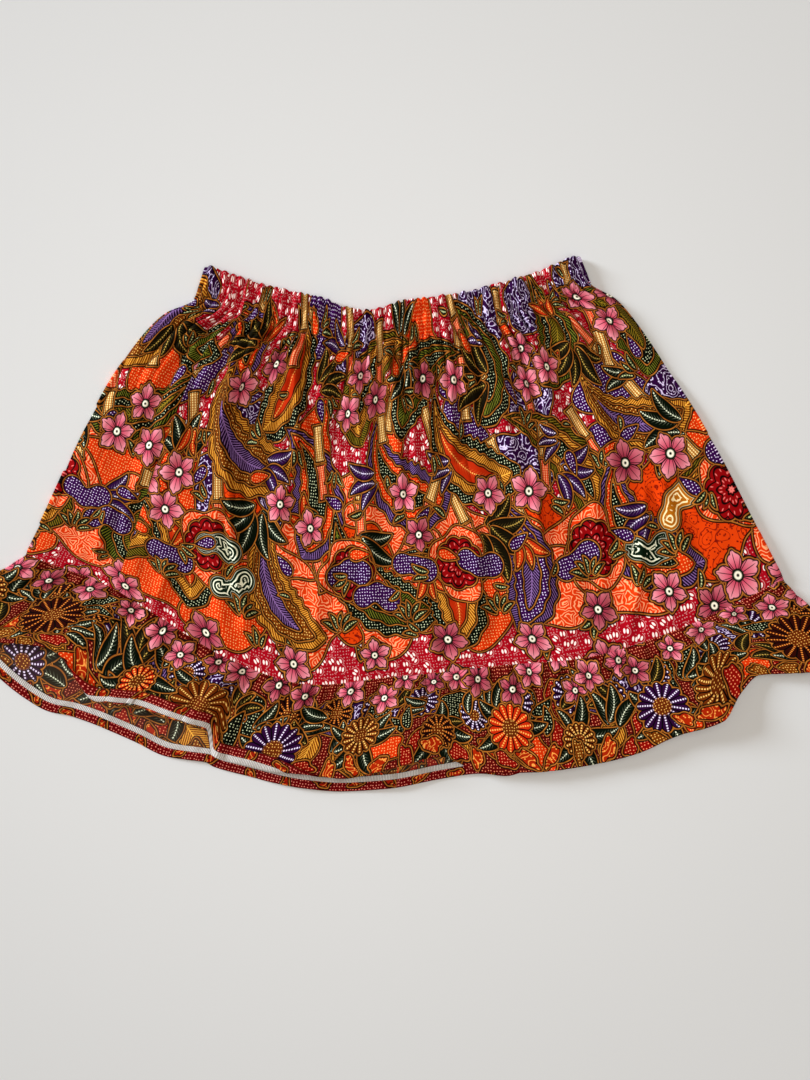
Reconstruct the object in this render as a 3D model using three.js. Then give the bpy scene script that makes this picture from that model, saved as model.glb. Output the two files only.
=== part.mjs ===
// A short cotton skirt laid flat, face up: an elasticated waist casing, two gathered panels and a
// gathered ruffle of two strips whose hem is turned up inside. Millimetres. +X runs to the right
// side fold, +Y towards the waist and +Z up from the surface. The origin lies on the underside.
//
// Every wall follows one flattened tube. A place on the tube is a row, from waist to hem, and a
// place round it: 0 to 1 across the front from left to right, then the right turn, then 0 to 1
// across the back from right to left. Side seams may therefore lie on the front or on the back.
import * as THREE from "three";

// ---- Driving dimensions ----
const CLOTH = 1.2; // wall of every single layer
const SEAM_GAP = 0.5; // between pieces that are sewn to each other
const LAY_GAP = 0.5; // between a turned-up hem and the wall that it lies on
const HEM_WALL = 1.0; // wall of the turned-up hem

const CASING_HEIGHT = 28; // waist casing, from its top fold to its stitching
const CASING_WALL = 3.2; // cloth, elastic and cloth
const CASING_ROUND = 0.9; // half the wall at the casing's top fold
const PANEL_LENGTH = 297; // from the casing to the ruffle
const FREE_EDGE = 30; // cloth at the ruffle's edge that can flip up
const HEM_TURN = 12; // height of the turned-up hem, up from that edge

const GATHERS = 50; // puckers across each side of the waist
const CASING_PUCKER = 1.3; // height of a pucker on the casing
const PANEL_PUCKER = 2.6; // height of a pucker where it leaves the casing
const PUCKER_REACH = 62; // cloth length over which a pucker fades out
const RUFFLE_GATHERS = 26; // puckers across each side of the ruffle's seam
const RUFFLE_PUCKER = 2.2; // height of a pucker at the ruffle's seam
const TOP_SCALLOP = 1.1; // how far the waist edge rises at a pucker
const WAIST_DIP = 0.22; // share of the waist's bow that lies in one narrow dip
const WAIST_DIP_AT = 0.42; // where that dip lies, as a share of the width
const WAIST_DIP_WIDTH = 0.09;
const WAIST_BOW = 0.83; // share of the waist's sag that is an even bow
const WAIST_BOW_REACH = 150; // cloth length over which the waist's own bow fades into an even one
const SWAY_STARTS = 150; // cloth length at which the rows begin to sway towards the ruffle's seam
const SWAY_GROWS = 175; // cloth length over which that sway grows
const SIDE_BULGE = 2.0; // extra height of the soft side folds
const SIDE_BULGE_WIDTH = 0.03; // share of the width over which it fades
const CURL_RADIUS = 2.1; // bend of the edge where it has flipped up
const BODY_WIDTH = 560; // width of the panels, from which the gap at a side seam is reckoned
const RUFFLE_WIDTH = 720; // the same of the ruffle
const RUFFLE_FALL = 150; // the same of the ruffle's fall, at its upper seam
const BACK_LIFT = 2.4; // most that the back hem stands off the surface
const BACK_WAVES = 9; // times that it does so
const FRONT_HEM_LIFT = 5.2; // height of the front layer's hem between its waves

// Places of the seams, as shares of the width of the side that each lies on.
const LEFT_SEAM_ON_FRONT = 0.115;
const RIGHT_SEAM_ON_BACK = 0.885;
const RUFFLE_SEAM_ON_FRONT = 0.725;
const RUFFLE_SEAM_ON_BACK = 0.235;

// Mesh steps.
const TURN_STEPS = 4;
const FRONT_STEPS = 100;
const BACK_STEPS = 28;
const CASING_STEPS = 150;
const CASING_BACK_STEPS = 40;
const RUFFLE_STEPS = 78;
const RUFFLE_BACK_STEPS = 36;
const FLIP_STARTS = 0.2; // share of the width over which the edge begins to flip, at finer steps
const FLIP_STEPS = 170;

// Rows of the tube. down: cloth length below the waist edge. left and right: the two side folds.
// sag: how far the middle of the row lies below its ends. lift: height of the front layer.
const ROWS = [
  { down: 0, leftX: -172, leftY: 239, rightX: 150, rightY: 248, sag: 41, lift: 5.4 },
  { down: 28, leftX: -183, leftY: 211, rightX: 161, rightY: 225, sag: 47, lift: 5.4 },
  { down: 57, leftX: -210, leftY: 198, rightX: 184, rightY: 211, sag: 62, lift: 5.0 },
  { down: 93, leftX: -235, leftY: 172, rightX: 206, rightY: 185, sag: 71, lift: 4.4 },
  { down: 141, leftX: -261, leftY: 132, rightX: 232, rightY: 145, sag: 80, lift: 4.0 },
  { down: 202, leftX: -288, leftY: 79, rightX: 264, rightY: 92, sag: 88, lift: 3.8 },
  { down: 269, leftX: -312, leftY: 26, rightX: 298, rightY: 26, sag: 95, lift: 4.0 },
  { down: 325, leftX: -330, leftY: -13, rightX: 329, rightY: -35, sag: 101, lift: 4.6 },
];

// Soft folds that fall from the waist across the front. at and lean: share of the width at the
// waist, and how far it has moved at the ruffle. reach: cloth length at which the fold has gone.
const FOLDS = [
  { at: 0.06, lean: -0.01, height: 3.0, width: 0.018, reach: 150 },
  { at: 0.12, lean: 0.03, height: 3.4, width: 0.02, reach: 230 },
  { at: 0.17, lean: 0.09, height: 4.4, width: 0.014, reach: 330 },
  { at: 0.28, lean: 0.08, height: 4.6, width: 0.014, reach: 250 },
  { at: 0.36, lean: 0.04, height: 3.2, width: 0.013, reach: 170 },
  { at: 0.45, lean: 0.02, height: 4.2, width: 0.014, reach: 270 },
  { at: 0.54, lean: 0.01, height: 4.0, width: 0.014, reach: 250 },
  { at: 0.61, lean: 0.01, height: 2.8, width: 0.012, reach: 150 },
  { at: 0.7, lean: 0.05, height: 4.2, width: 0.014, reach: 240 },
  { at: 0.8, lean: 0.0, height: 3.0, width: 0.013, reach: 170 },
  { at: 0.87, lean: -0.01, height: 3.8, width: 0.016, reach: 240 },
  { at: 0.94, lean: 0.01, height: 3.2, width: 0.016, reach: 190 },
];

// How far the rows near the ruffle's seam depart from an even bow, left to right.
const SEAM_SWAY = [
  { at: 0.0, shift: 0 },
  { at: 0.11, shift: 13 },
  { at: 0.16, shift: 9 },
  { at: 0.27, shift: -7 },
  { at: 0.35, shift: -12 },
  { at: 0.5, shift: 6 },
  { at: 0.62, shift: 11 },
  { at: 0.78, shift: 2 },
  { at: 1.0, shift: 0 },
];

// The ruffle's lower line, left to right. front and back: Y of each layer's lowest line there.
// flipped: how much of the front layer's edge has flipped up over it. wave: height of the front
// layer's waves.
const HEM = [
  { x: -406, front: -62, back: -62, flipped: 0, wave: 1 },
  { x: -372, front: -88, back: -106, flipped: 0, wave: 1 },
  { x: -334, front: -91, back: -139, flipped: 0, wave: 3 },
  { x: -312, front: -94, back: -151, flipped: 0, wave: 4 },
  { x: -296, front: -105, back: -154, flipped: 3, wave: 4 },
  { x: -283, front: -124, back: -158, flipped: 8, wave: 4 },
  { x: -272, front: -137, back: -162, flipped: 13, wave: 3 },
  { x: -258, front: -142, back: -168, flipped: 17, wave: 4 },
  { x: -238, front: -144, back: -177, flipped: 20, wave: 5 },
  { x: -210, front: -153, back: -190, flipped: 20, wave: 6 },
  { x: -190, front: -161, back: -193, flipped: 20, wave: 4 },
  { x: -177, front: -168, back: -195, flipped: 19, wave: 3 },
  { x: -166, front: -190, back: -199, flipped: 18, wave: 2 },
  { x: -136, front: -196, back: -208, flipped: 18, wave: 4 },
  { x: -116, front: -200, back: -213, flipped: 16, wave: 3 },
  { x: -88, front: -203, back: -218, flipped: 7, wave: 2 },
  { x: -56, front: -208, back: -221, flipped: 0, wave: 4 },
  { x: -14, front: -199, back: -218, flipped: 0, wave: 6 },
  { x: 31, front: -189, back: -210, flipped: 0, wave: 4 },
  { x: 68, front: -203, back: -205, flipped: 0, wave: 1 },
  { x: 88, front: -203, back: -207, flipped: 0, wave: 2 },
  { x: 119, front: -202, back: -198, flipped: 0, wave: 5 },
  { x: 158, front: -197, back: -192, flipped: 0, wave: 2 },
  { x: 200, front: -187, back: -182, flipped: 0, wave: 4 },
  { x: 238, front: -170, back: -165, flipped: 0, wave: 6 },
  { x: 276, front: -157, back: -150, flipped: 0, wave: 9 },
  { x: 292, front: -134, back: -134, flipped: 0, wave: 4 },
  { x: 310, front: -118, back: -116, flipped: 0, wave: 2 },
  { x: 355, front: -115, back: -112, flipped: 0, wave: 5 },
  { x: 392, front: -101, back: -101, flipped: 0, wave: 1 },
];

// ---- Small helpers ----
const { lerp, clamp } = THREE.MathUtils;

// A column of a table, read at a place between its rows. It runs smoothly and never overshoots.
function read(table, key, column, place) {
  let row = 0;
  while (row < table.length - 2 && place > table[row + 1][key]) row += 1;
  const slope = (k) =>
    (table[k + 1][column] - table[k][column]) / (table[k + 1][key] - table[k][key]);
  const tangent = (k) => {
    if (k === 0) return slope(0);
    if (k === table.length - 1) return slope(k - 1);
    const before = slope(k - 1);
    const after = slope(k);
    return before * after <= 0 ? 0 : (2 * before * after) / (before + after);
  };
  const span = table[row + 1][key] - table[row][key];
  const t = clamp((place - table[row][key]) / span, 0, 1);
  return (
    (1 + 2 * t) * (1 - t) ** 2 * table[row][column] +
    t * (1 - t) ** 2 * span * tangent(row) +
    t * t * (3 - 2 * t) * table[row + 1][column] +
    t * t * (t - 1) * span * tangent(row + 1)
  );
}

// A fixed number from 0 to 1 for each whole number, so that no two puckers are alike.
function vary(index) {
  const value = Math.sin(index * 12.9898 + 4.1) * 43758.5453;
  return value - Math.floor(value);
}

// Height from 0 to about 1 across a row of puckers, with sharp valleys between round crests.
function puckers(count, across) {
  const index = Math.min(count - 1, Math.floor(across * count));
  return Math.abs(Math.sin(Math.PI * count * across)) ** 0.7 * (0.55 + 0.45 * vary(index));
}

function sideBulge(across) {
  const edge = Math.min(across, 1 - across) / SIDE_BULGE_WIDTH;
  return SIDE_BULGE * Math.exp(-edge * edge);
}

// ---- The two layers of casing and panels ----
function bodyPoint(front, across, down) {
  const value = (column) => read(ROWS, "down", column, down);
  const x = lerp(value("leftX"), value("rightX"), across);
  const nearSeam = clamp((down - SWAY_STARTS) / SWAY_GROWS, 0, 1);
  const dip = Math.exp(-(((across - WAIST_DIP_AT) / WAIST_DIP_WIDTH) ** 2));
  const even = 4 * across * (1 - across);
  const atWaist = WAIST_BOW * even + WAIST_DIP * dip;
  const bow = lerp(atWaist, even, clamp(down / WAIST_BOW_REACH, 0, 1));
  let y = lerp(value("leftY"), value("rightY"), across) - value("sag") * bow;
  y += nearSeam * nearSeam * read(SEAM_SWAY, "at", "shift", across);
  y += TOP_SCALLOP * puckers(GATHERS, across) * clamp(1 - down / CASING_HEIGHT, 0, 1);
  if (!front) {
    const wall = down < CASING_HEIGHT ? CASING_WALL : CLOTH;
    return new THREE.Vector3(x, y, wall / 2);
  }
  const below = Math.max(0, down - CASING_HEIGHT);
  let z = value("lift") + sideBulge(across) * clamp(below / 30, 0, 1);
  if (below > 0) {
    const reach = PUCKER_REACH * (0.5 + vary(Math.floor(across * GATHERS) + 60));
    z += PANEL_PUCKER * puckers(GATHERS, across) * Math.exp(-((below / reach) ** 2));
    for (const fold of FOLDS) {
      const off = (across - fold.at - (fold.lean * below) / PANEL_LENGTH) / fold.width;
      const fade = clamp(below / 20, 0, 1) * clamp((fold.reach - below) / 90, 0, 1);
      z += fold.height * fade * Math.exp(-off * off);
    }
  }
  return new THREE.Vector3(x, y, z);
}

// ---- The two layers of the ruffle ----
// fall: 0 at the seam to 1 where the free edge begins. run: length on down the free edge.
function rufflePoint(front, across, { fall, run }) {
  const seam = bodyPoint(front, across, CASING_HEIGHT + PANEL_LENGTH);
  const hemX = lerp(HEM[0].x, HEM[HEM.length - 1].x, across);
  const flipped = front ? Math.max(0, read(HEM, "x", "flipped", hemX)) : 0;
  const straight = FREE_EDGE - flipped;
  const lowest = new THREE.Vector2(hemX, read(HEM, "x", front ? "front" : "back", hemX));
  const way = lowest.clone().sub(new THREE.Vector2(seam.x, seam.y));
  const length = way.length() - straight - Math.min(CURL_RADIUS, flipped);
  way.normalize();
  const waves = Math.sin(BACK_WAVES * Math.PI * across) ** 2 * Math.sin(Math.PI * across);
  const lift = BACK_LIFT * waves * fall * fall;
  let z = CLOTH / 2 + lift;
  if (front) {
    const layers = lerp(seam.z, FRONT_HEM_LIFT + lift + sideBulge(across), fall);
    const gather = RUFFLE_PUCKER * puckers(RUFFLE_GATHERS, across) * (1 - fall) ** 1.5;
    z = layers + gather * clamp(fall / 0.05, 0.4, 1);
    z += read(HEM, "x", "wave", hemX) * fall ** 1.3;
  }
  // The free edge runs straight on, bends through up to a half turn and runs back.
  const flat = Math.min(run, straight);
  const angle = clamp((run - flat) / CURL_RADIUS, 0, Math.PI);
  const rest = run - flat - CURL_RADIUS * angle;
  const along = length * fall + flat + CURL_RADIUS * Math.sin(angle) + rest * Math.cos(angle);
  const up = CURL_RADIUS * (1 - Math.cos(angle)) + rest * Math.sin(angle);
  return new THREE.Vector3(seam.x + way.x * along, seam.y + way.y * along, z + up);
}

// ---- Round the tube ----
// The places round the tube of one piece, from a place on one side to a place on the other.
function frontThenBack(from, to, frontSteps, backSteps) {
  return [...span("front", from, 1, frontSteps), ...turns(1), ...span("back", 1, to, backSteps)];
}

function backThenFront(from, to, frontSteps, backSteps) {
  return [...span("back", from, 0, backSteps), ...turns(0), ...span("front", 0, to, frontSteps)];
}

function span(side, from, to, stepsInAll) {
  const steps = Math.max(2, Math.round(Math.abs(to - from) * stepsInAll));
  return Array.from({ length: steps + 1 }, (_, k) => ({ side, across: lerp(from, to, k / steps) }));
}

function turns(across) {
  return Array.from({ length: TURN_STEPS - 1 }, (_, k) => ({
    side: "turn",
    across,
    angle: (Math.PI * (k + 1)) / TURN_STEPS,
  }));
}

// A point of the tube at a place. layer(front, across) gives the row's point on either layer.
function tubePoint(layer, place) {
  if (place.side !== "turn") return layer(place.side === "front", place.across);
  const upper = layer(true, place.across);
  const lower = layer(false, place.across);
  const inward = layer(false, Math.abs(place.across - 0.01)).sub(lower).setZ(0).normalize();
  const middle = upper.clone().add(lower).multiplyScalar(0.5);
  const radius = upper.distanceTo(middle);
  const angle = place.across === 1 ? place.angle : Math.PI - place.angle;
  return middle
    .clone()
    .add(upper.sub(middle).multiplyScalar(Math.cos(angle)))
    .addScaledVector(inward, -radius * Math.sin(angle));
}

// ---- From a grid of points to a closed wall ----
function normalAt(grid, i, j) {
  const last = grid.length - 1;
  const end = grid[0].length - 1;
  const round = grid[Math.min(last, i + 1)][j].clone().sub(grid[Math.max(0, i - 1)][j]);
  const down = grid[i][Math.min(end, j + 1)].clone().sub(grid[i][Math.max(0, j - 1)]);
  return down.cross(round).normalize();
}

// outer and inner give how far each face lies from the grid, along its normal, in each row. The
// wall begins at the grid's first row, or lower down.
function wall(grid, outer, inner, firstRow = 0) {
  const rows = grid[0].length - firstRow;
  const face = (offset) =>
    grid.map((column, i) =>
      column
        .map((p, j) => p.clone().addScaledVector(normalAt(grid, i, j), offset(j)))
        .slice(firstRow),
    );
  const sides = [face(outer), face(inner)];
  const loop = 2 * rows;
  const positions = [];
  for (let i = 0; i < grid.length; i += 1) {
    for (let j = 0; j < rows; j += 1) positions.push(...sides[0][i][j].toArray());
    for (let j = rows - 1; j >= 0; j -= 1) positions.push(...sides[1][i][j].toArray());
  }
  const index = [];
  for (let i = 0; i + 1 < grid.length; i += 1) {
    for (let k = 0; k < loop; k += 1) {
      const a = i * loop + k;
      const b = i * loop + ((k + 1) % loop);
      // Both faces of the wall are split along the same diagonal.
      if (k < rows) index.push(a, b, b + loop, a, b + loop, a + loop);
      else index.push(a, b, a + loop, b, b + loop, a + loop);
    }
  }
  const far = (grid.length - 1) * loop;
  for (let j = 0; j + 1 < rows; j += 1) {
    const [a, b, c, d] = [j, j + 1, loop - 2 - j, loop - 1 - j];
    index.push(a, d, c, a, c, b);
    index.push(far + a, far + b, far + c, far + a, far + c, far + d);
  }
  const geometry = new THREE.BufferGeometry();
  geometry.setAttribute("position", new THREE.Float32BufferAttribute(positions, 3));
  geometry.setIndex(index);
  geometry.computeVertexNormals();
  return geometry;
}

function gridOf(places, rows, point) {
  return places.map((place) =>
    rows.map((row) => tubePoint((front, across) => point(front, across, row), place)),
  );
}

// ---- Pieces ----
const share = (gap, width) => gap / 2 / width;
const PANEL_SHARE = share(SEAM_GAP, BODY_WIDTH);
const RUFFLE_SHARE = share(SEAM_GAP, RUFFLE_WIDTH);

const PANEL_FRONT = [LEFT_SEAM_ON_FRONT + PANEL_SHARE, RIGHT_SEAM_ON_BACK + PANEL_SHARE];
const PANEL_BACK = [RIGHT_SEAM_ON_BACK - PANEL_SHARE, LEFT_SEAM_ON_FRONT - PANEL_SHARE];

const frontCasingPlaces = frontThenBack(...PANEL_FRONT, CASING_STEPS, CASING_BACK_STEPS);
const frontPanelPlaces = frontThenBack(...PANEL_FRONT, FRONT_STEPS, BACK_STEPS);
const backCasingPlaces = backThenFront(...PANEL_BACK, CASING_STEPS, CASING_BACK_STEPS);
const backPanelPlaces = backThenFront(...PANEL_BACK, FRONT_STEPS, BACK_STEPS);
const ruffleOnePlaces = [
  ...backThenFront(RUFFLE_SEAM_ON_BACK - RUFFLE_SHARE, FLIP_STARTS, FLIP_STEPS, RUFFLE_BACK_STEPS),
  ...span("front", FLIP_STARTS, RUFFLE_SEAM_ON_FRONT - RUFFLE_SHARE, RUFFLE_STEPS).slice(1),
];
const ruffleTwoPlaces = frontThenBack(
  RUFFLE_SEAM_ON_FRONT + RUFFLE_SHARE,
  RUFFLE_SEAM_ON_BACK + RUFFLE_SHARE,
  RUFFLE_STEPS,
  RUFFLE_BACK_STEPS,
);

function casing(places) {
  const rows = [0, 2, 14, CASING_HEIGHT - SEAM_GAP / 2];
  const grid = gridOf(places, rows, bodyPoint);
  const half = (j) => (j === 0 ? CASING_ROUND : CASING_WALL / 2);
  const geometry = wall(grid, half, (j) => -half(j));
  // Puckers stand up on the outer face of what lies on the front.
  const position = geometry.getAttribute("position");
  const loop = 2 * rows.length;
  places.forEach((place, i) => {
    if (place.side !== "front") return;
    for (let j = 1; j < rows.length; j += 1) {
      const k = i * loop + j;
      position.setZ(k, position.getZ(k) + CASING_PUCKER * puckers(GATHERS, place.across));
    }
  });
  return geometry;
}

function panel(places) {
  const top = CASING_HEIGHT + SEAM_GAP / 2;
  const bottom = CASING_HEIGHT + PANEL_LENGTH - SEAM_GAP / 2;
  const rows = [top, 42, 62, 95, 145, 210, 270, bottom];
  return wall(gridOf(places, rows, bodyPoint), () => CLOTH / 2, () => -CLOTH / 2);
}

// Rows of the ruffle. The turned-up hem begins at the row that runs FREE_EDGE - HEM_TURN.
const FALL_ROWS = [SEAM_GAP / RUFFLE_FALL, 0.2, 0.6].map((fall) => ({ fall, run: 0 }));
const HEM_TOP = FREE_EDGE - HEM_TURN;
const FLIPPING_RUNS = [0, 5, 10, 12.2, 14.4, 16.4, HEM_TOP, 20.8, 23.8, 26.9, FREE_EDGE];
const PLAIN_RUNS = [0, HEM_TOP, FREE_EDGE];

function ruffleGrid(places, runs) {
  const rows = [...FALL_ROWS, ...runs.map((run) => ({ fall: 1, run }))];
  return gridOf(places, rows, rufflePoint);
}

const ruffle = (grid) => wall(grid, () => CLOTH / 2, () => -CLOTH / 2);

function turnedHem(grid, runs) {
  const lie = CLOTH / 2 + LAY_GAP;
  const firstRow = FALL_ROWS.length + runs.indexOf(HEM_TOP);
  return wall(grid, () => -lie, () => -lie - HEM_WALL, firstRow);
}

// ---- Finishes ----
const finish = (color) => new THREE.MeshStandardMaterial({ color, roughness: 0.85, metalness: 0 });
const PRINT = finish(0xb4502a);
const PANEL_PRINT = finish(0xa8452c);
const RUFFLE_PRINT = finish(0x8f3d2c);
const HEM_PRINT = finish(0x9c2224);

const skirt = new THREE.Group();

function add(name, geometry, material) {
  const mesh = new THREE.Mesh(geometry, material);
  mesh.name = name;
  skirt.add(mesh);
}

add("casing_front", casing(frontCasingPlaces), PRINT);
add("casing_back", casing(backCasingPlaces), PRINT);
add("panel_front", panel(frontPanelPlaces), PANEL_PRINT);
add("panel_back", panel(backPanelPlaces), PANEL_PRINT);
const ruffleOne = ruffleGrid(ruffleOnePlaces, FLIPPING_RUNS);
const ruffleTwo = ruffleGrid(ruffleTwoPlaces, PLAIN_RUNS);
add("ruffle_front", ruffle(ruffleOne), RUFFLE_PRINT);
add("ruffle_back", ruffle(ruffleTwo), RUFFLE_PRINT);
add("hem_front", turnedHem(ruffleOne, FLIPPING_RUNS), HEM_PRINT);
add("hem_back", turnedHem(ruffleTwo, PLAIN_RUNS), HEM_PRINT);

export default skirt;
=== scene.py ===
"""A short printed cotton skirt laid flat, face up, with an elasticated waist and a ruffled hem."""

import math
import random
from collections import namedtuple
from functools import partial

import bmesh
import bpy
import numpy as np
from bpy.props import FloatProperty, FloatVectorProperty, IntProperty, PointerProperty
from mathutils import Matrix, Vector


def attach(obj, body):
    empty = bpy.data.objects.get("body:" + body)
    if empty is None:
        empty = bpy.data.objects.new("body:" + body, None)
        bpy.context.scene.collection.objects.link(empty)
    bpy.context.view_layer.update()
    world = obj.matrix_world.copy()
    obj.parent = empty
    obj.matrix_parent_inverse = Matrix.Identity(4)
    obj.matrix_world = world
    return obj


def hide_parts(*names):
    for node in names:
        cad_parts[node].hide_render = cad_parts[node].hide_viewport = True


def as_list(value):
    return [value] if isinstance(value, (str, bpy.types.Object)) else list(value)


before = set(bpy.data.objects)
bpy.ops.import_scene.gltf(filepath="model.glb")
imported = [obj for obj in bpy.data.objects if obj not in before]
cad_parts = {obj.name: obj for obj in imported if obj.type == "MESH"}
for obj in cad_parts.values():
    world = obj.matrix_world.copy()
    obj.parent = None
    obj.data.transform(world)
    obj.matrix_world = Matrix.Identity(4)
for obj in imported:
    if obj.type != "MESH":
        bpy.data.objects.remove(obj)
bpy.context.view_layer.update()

bl_info = {
    "name": "Printed Skirt Laid Flat",
    "version": (1, 0, 0),
    "blender": (4, 5, 0),
    "location": "View3D > Sidebar > Skirt",
    "description": "Builds a gathered, printed cotton skirt with a ruffled hem, laid flat",
    "category": "Object",
}

MM = 0.001
# Middle of the painted shade on the table top.
PAINTED_SHADE_MIDDLE = (-0.1, 0.06, 0)  # where the table top is palest, in metres

# ---- The skirt's form, in millimetres, with its solids' own sizes ----
CLOTH_WALL = 1.2
CASING_HEIGHT = 28
CASING_WALL = 3.2
PANEL_LENGTH = 297
FREE_EDGE = 30
HEM_TURN = 12
HEM_TOP = FREE_EDGE - HEM_TURN
GATHERS = 50
PANEL_PUCKER = 2.6
PUCKER_REACH = 62
RUFFLE_GATHERS = 26
RUFFLE_PUCKER = 2.2
TOP_SCALLOP = 1.1
WAIST_DIP = 0.22
WAIST_DIP_AT = 0.42
WAIST_DIP_WIDTH = 0.09
WAIST_BOW = 0.83
WAIST_BOW_REACH = 150
SWAY_STARTS = 150
SWAY_GROWS = 175
SIDE_BULGE = 2.0
SIDE_BULGE_WIDTH = 0.03
CURL_RADIUS = 2.1
BACK_LIFT = 2.4
BACK_WAVES = 9
FRONT_HEM_LIFT = 5.2
LEFT_SEAM_ON_FRONT = 0.115
RIGHT_SEAM_ON_BACK = 0.885
RUFFLE_SEAM_ON_FRONT = 0.725
RUFFLE_SEAM_ON_BACK = 0.235

# ---- Sizes of the cloth that the solids don't have, in millimetres ----
SEAM_GROOVE = 1.0  # depth to which the ruffle's seam draws the cloth in
SEAM_GROOVE_WIDTH = 3  # distance from the seam over which it fades out
BACK_FACE = 2.4  # lowest the front layer's wall comes, over the back layer
SETTLING = 0.7  # height over which the front layer eases onto that
BACK_RISE = 1.1  # most that the back layer's gathers and crumples stand up
SIDE_EASE = 0.06  # share of the width over which relief dies out at the side folds
SEAM = 0.1  # gap between two pieces of cloth
CLEARANCE = 0.02  # the same between cloth and what it lies against or is sewn to
BODY_SPAN = 560  # width that the gap at a panel's side seam is reckoned on
RUFFLE_SPAN = 740  # the same for the ruffle
PANEL_WIDTH = 700.0  # cut width of each panel's stretch across one side of the skirt
RUFFLE_WIDTH = 860.0  # the same for the ruffle
RUFFLE_FALL = 64  # cloth of the ruffle above its free edge
RUFFLE_ROWS = 62  # length of it that the rows of points are counted on
PRINT_BACK_SHIFT = 1000.0  # keeps the two panels' prints apart on the cloth
PRINT_REACH = 2.6  # widths of the ruffle that its print covers
PRINT_START = 0.7  # how far before the ruffle it starts
CASING_COLUMNS = 560  # places across the casing's front
CASING_BACK_COLUMNS = 220  # places across its back
CASING_FOLD = 1.4  # distance from the waist edge at which the casing's fold begins
TUCK = 8  # distance from the casing's top and bottom edges over which its ruching changes

# Each table is a line of column names and a row of numbers for each section or fold.
ROWS = """down leftX leftY rightX rightY sag lift
0   -172 239 150 248 41  5.4
28  -183 211 161 225 47  5.4
57  -210 198 184 211 62  5.0
93  -235 172 206 185 71  4.4
141 -261 132 232 145 80  4.0
202 -288 79  264 92  88  3.8
269 -312 26  298 26  95  4.0
325 -330 -13 329 -35 101 4.6"""

FOLDS = """at lean height width reach
0.06 -0.01 3.0 0.018 150
0.12 0.03  3.4 0.02  230
0.17 0.09  4.4 0.014 330
0.28 0.08  4.6 0.014 250
0.36 0.04  3.2 0.013 170
0.45 0.02  4.2 0.014 270
0.54 0.01  4.0 0.014 250
0.61 0.01  2.8 0.012 150
0.7  0.05  4.2 0.014 240
0.8  0.0   3.0 0.013 170
0.87 -0.01 3.8 0.016 240
0.94 0.01  3.2 0.016 190"""

SEAM_SWAY = """at shift
0.0 0
0.11 13
0.16 9
0.27 -7
0.35 -12
0.5 6
0.62 11
0.78 2
1.0 0"""

# The two steps of the flipped edge are a little sharper than the solids' own.
HEM = """x front back flipped wave
-406 -62  -62  0  1
-372 -88  -106 0  1
-334 -91  -139 0  3
-312 -94  -151 0  4
-296 -105 -154 2  4
-283 -124 -158 9  4
-272 -137 -162 15 3
-258 -142 -168 20 4
-238 -144 -177 20 5
-210 -153 -190 20 6
-190 -160 -193 20 4
-175 -165 -195 20 3
-168 -188 -199 19 2
-136 -196 -208 18 4
-116 -200 -213 16 3
-88  -203 -218 7  2
-56  -208 -221 0  4
-14  -199 -218 0  6
31   -189 -210 0  4
68   -203 -205 0  1
88   -203 -207 0  2
119  -202 -198 0  5
158  -197 -192 0  2
200  -187 -182 0  4
238  -170 -165 0  6
276  -157 -150 0  9
292  -134 -134 0  4
310  -118 -116 0  2
355  -115 -112 0  5
392  -101 -101 0  1"""

# ---- Finer form of the cloth itself ----
# Gathers of several sizes. count: how many across each side. start: over what length they grow.
# least and most: how far down they reach.
PANEL_GATHERS = """count depth start least most
50 1.0 0.001 26  90
34 0.8 12    40  130
25 1.2 14    50  160
13 1.5 30    110 260"""

RUFFLE_GATHER_SIZES = """count depth start least most
60 0.75 0.08 0.12 0.5
34 1.0  0.08 0.2  1.1
19 0.8  0.08 0.5  1.5"""

# Creases of the front panel that run from one place to another. depth below 0 is a ridge.
CREASES = """x1 y1 x2 y2 depth width
-88  218 -89  150  3.6 4.0
-89  150 -90  60   4.4 3.6
-133 203 -145 150  2.6 4.0
-145 150 -153 96   3.4 3.6
-153 96  -147 20   4.6 3.2
-147 20  -140 -30  4.2 3.4
-140 -30 -132 -74  2.6 4.0
48   132 47   70   3.4 4.0
86   148 99   118  3.2 3.6
99   118 113  86   3.0 3.8
-40  196 -36  100  2.4 4.6
-17  202 3    108  3.6 3.6
3    108 3    40   2.8 4.0
111  142 122  60   2.0 4.4
122  60  131  -54  2.6 4.6
-118 196 -136 96   2.2 4.6
118  200 136  110  2.2 5.0
150  206 188  92   2.2 5.4
-170 186 -212 76   2.2 5.4
-212 76  -240 6    1.8 6.0
219  40  205  -88  2.8 4.6
-60  -20 -72  -104 2.0 5.4
70   10  78   -92  2.0 6.0
176  40  190  -70  1.8 7.0
236  60  262  -30  1.8 7.0
-250 30  -262 -20  2.4 5.0
-200 -20 -212 -76  2.2 5.0
20   -50 40   -110 2.0 5.0"""

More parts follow.
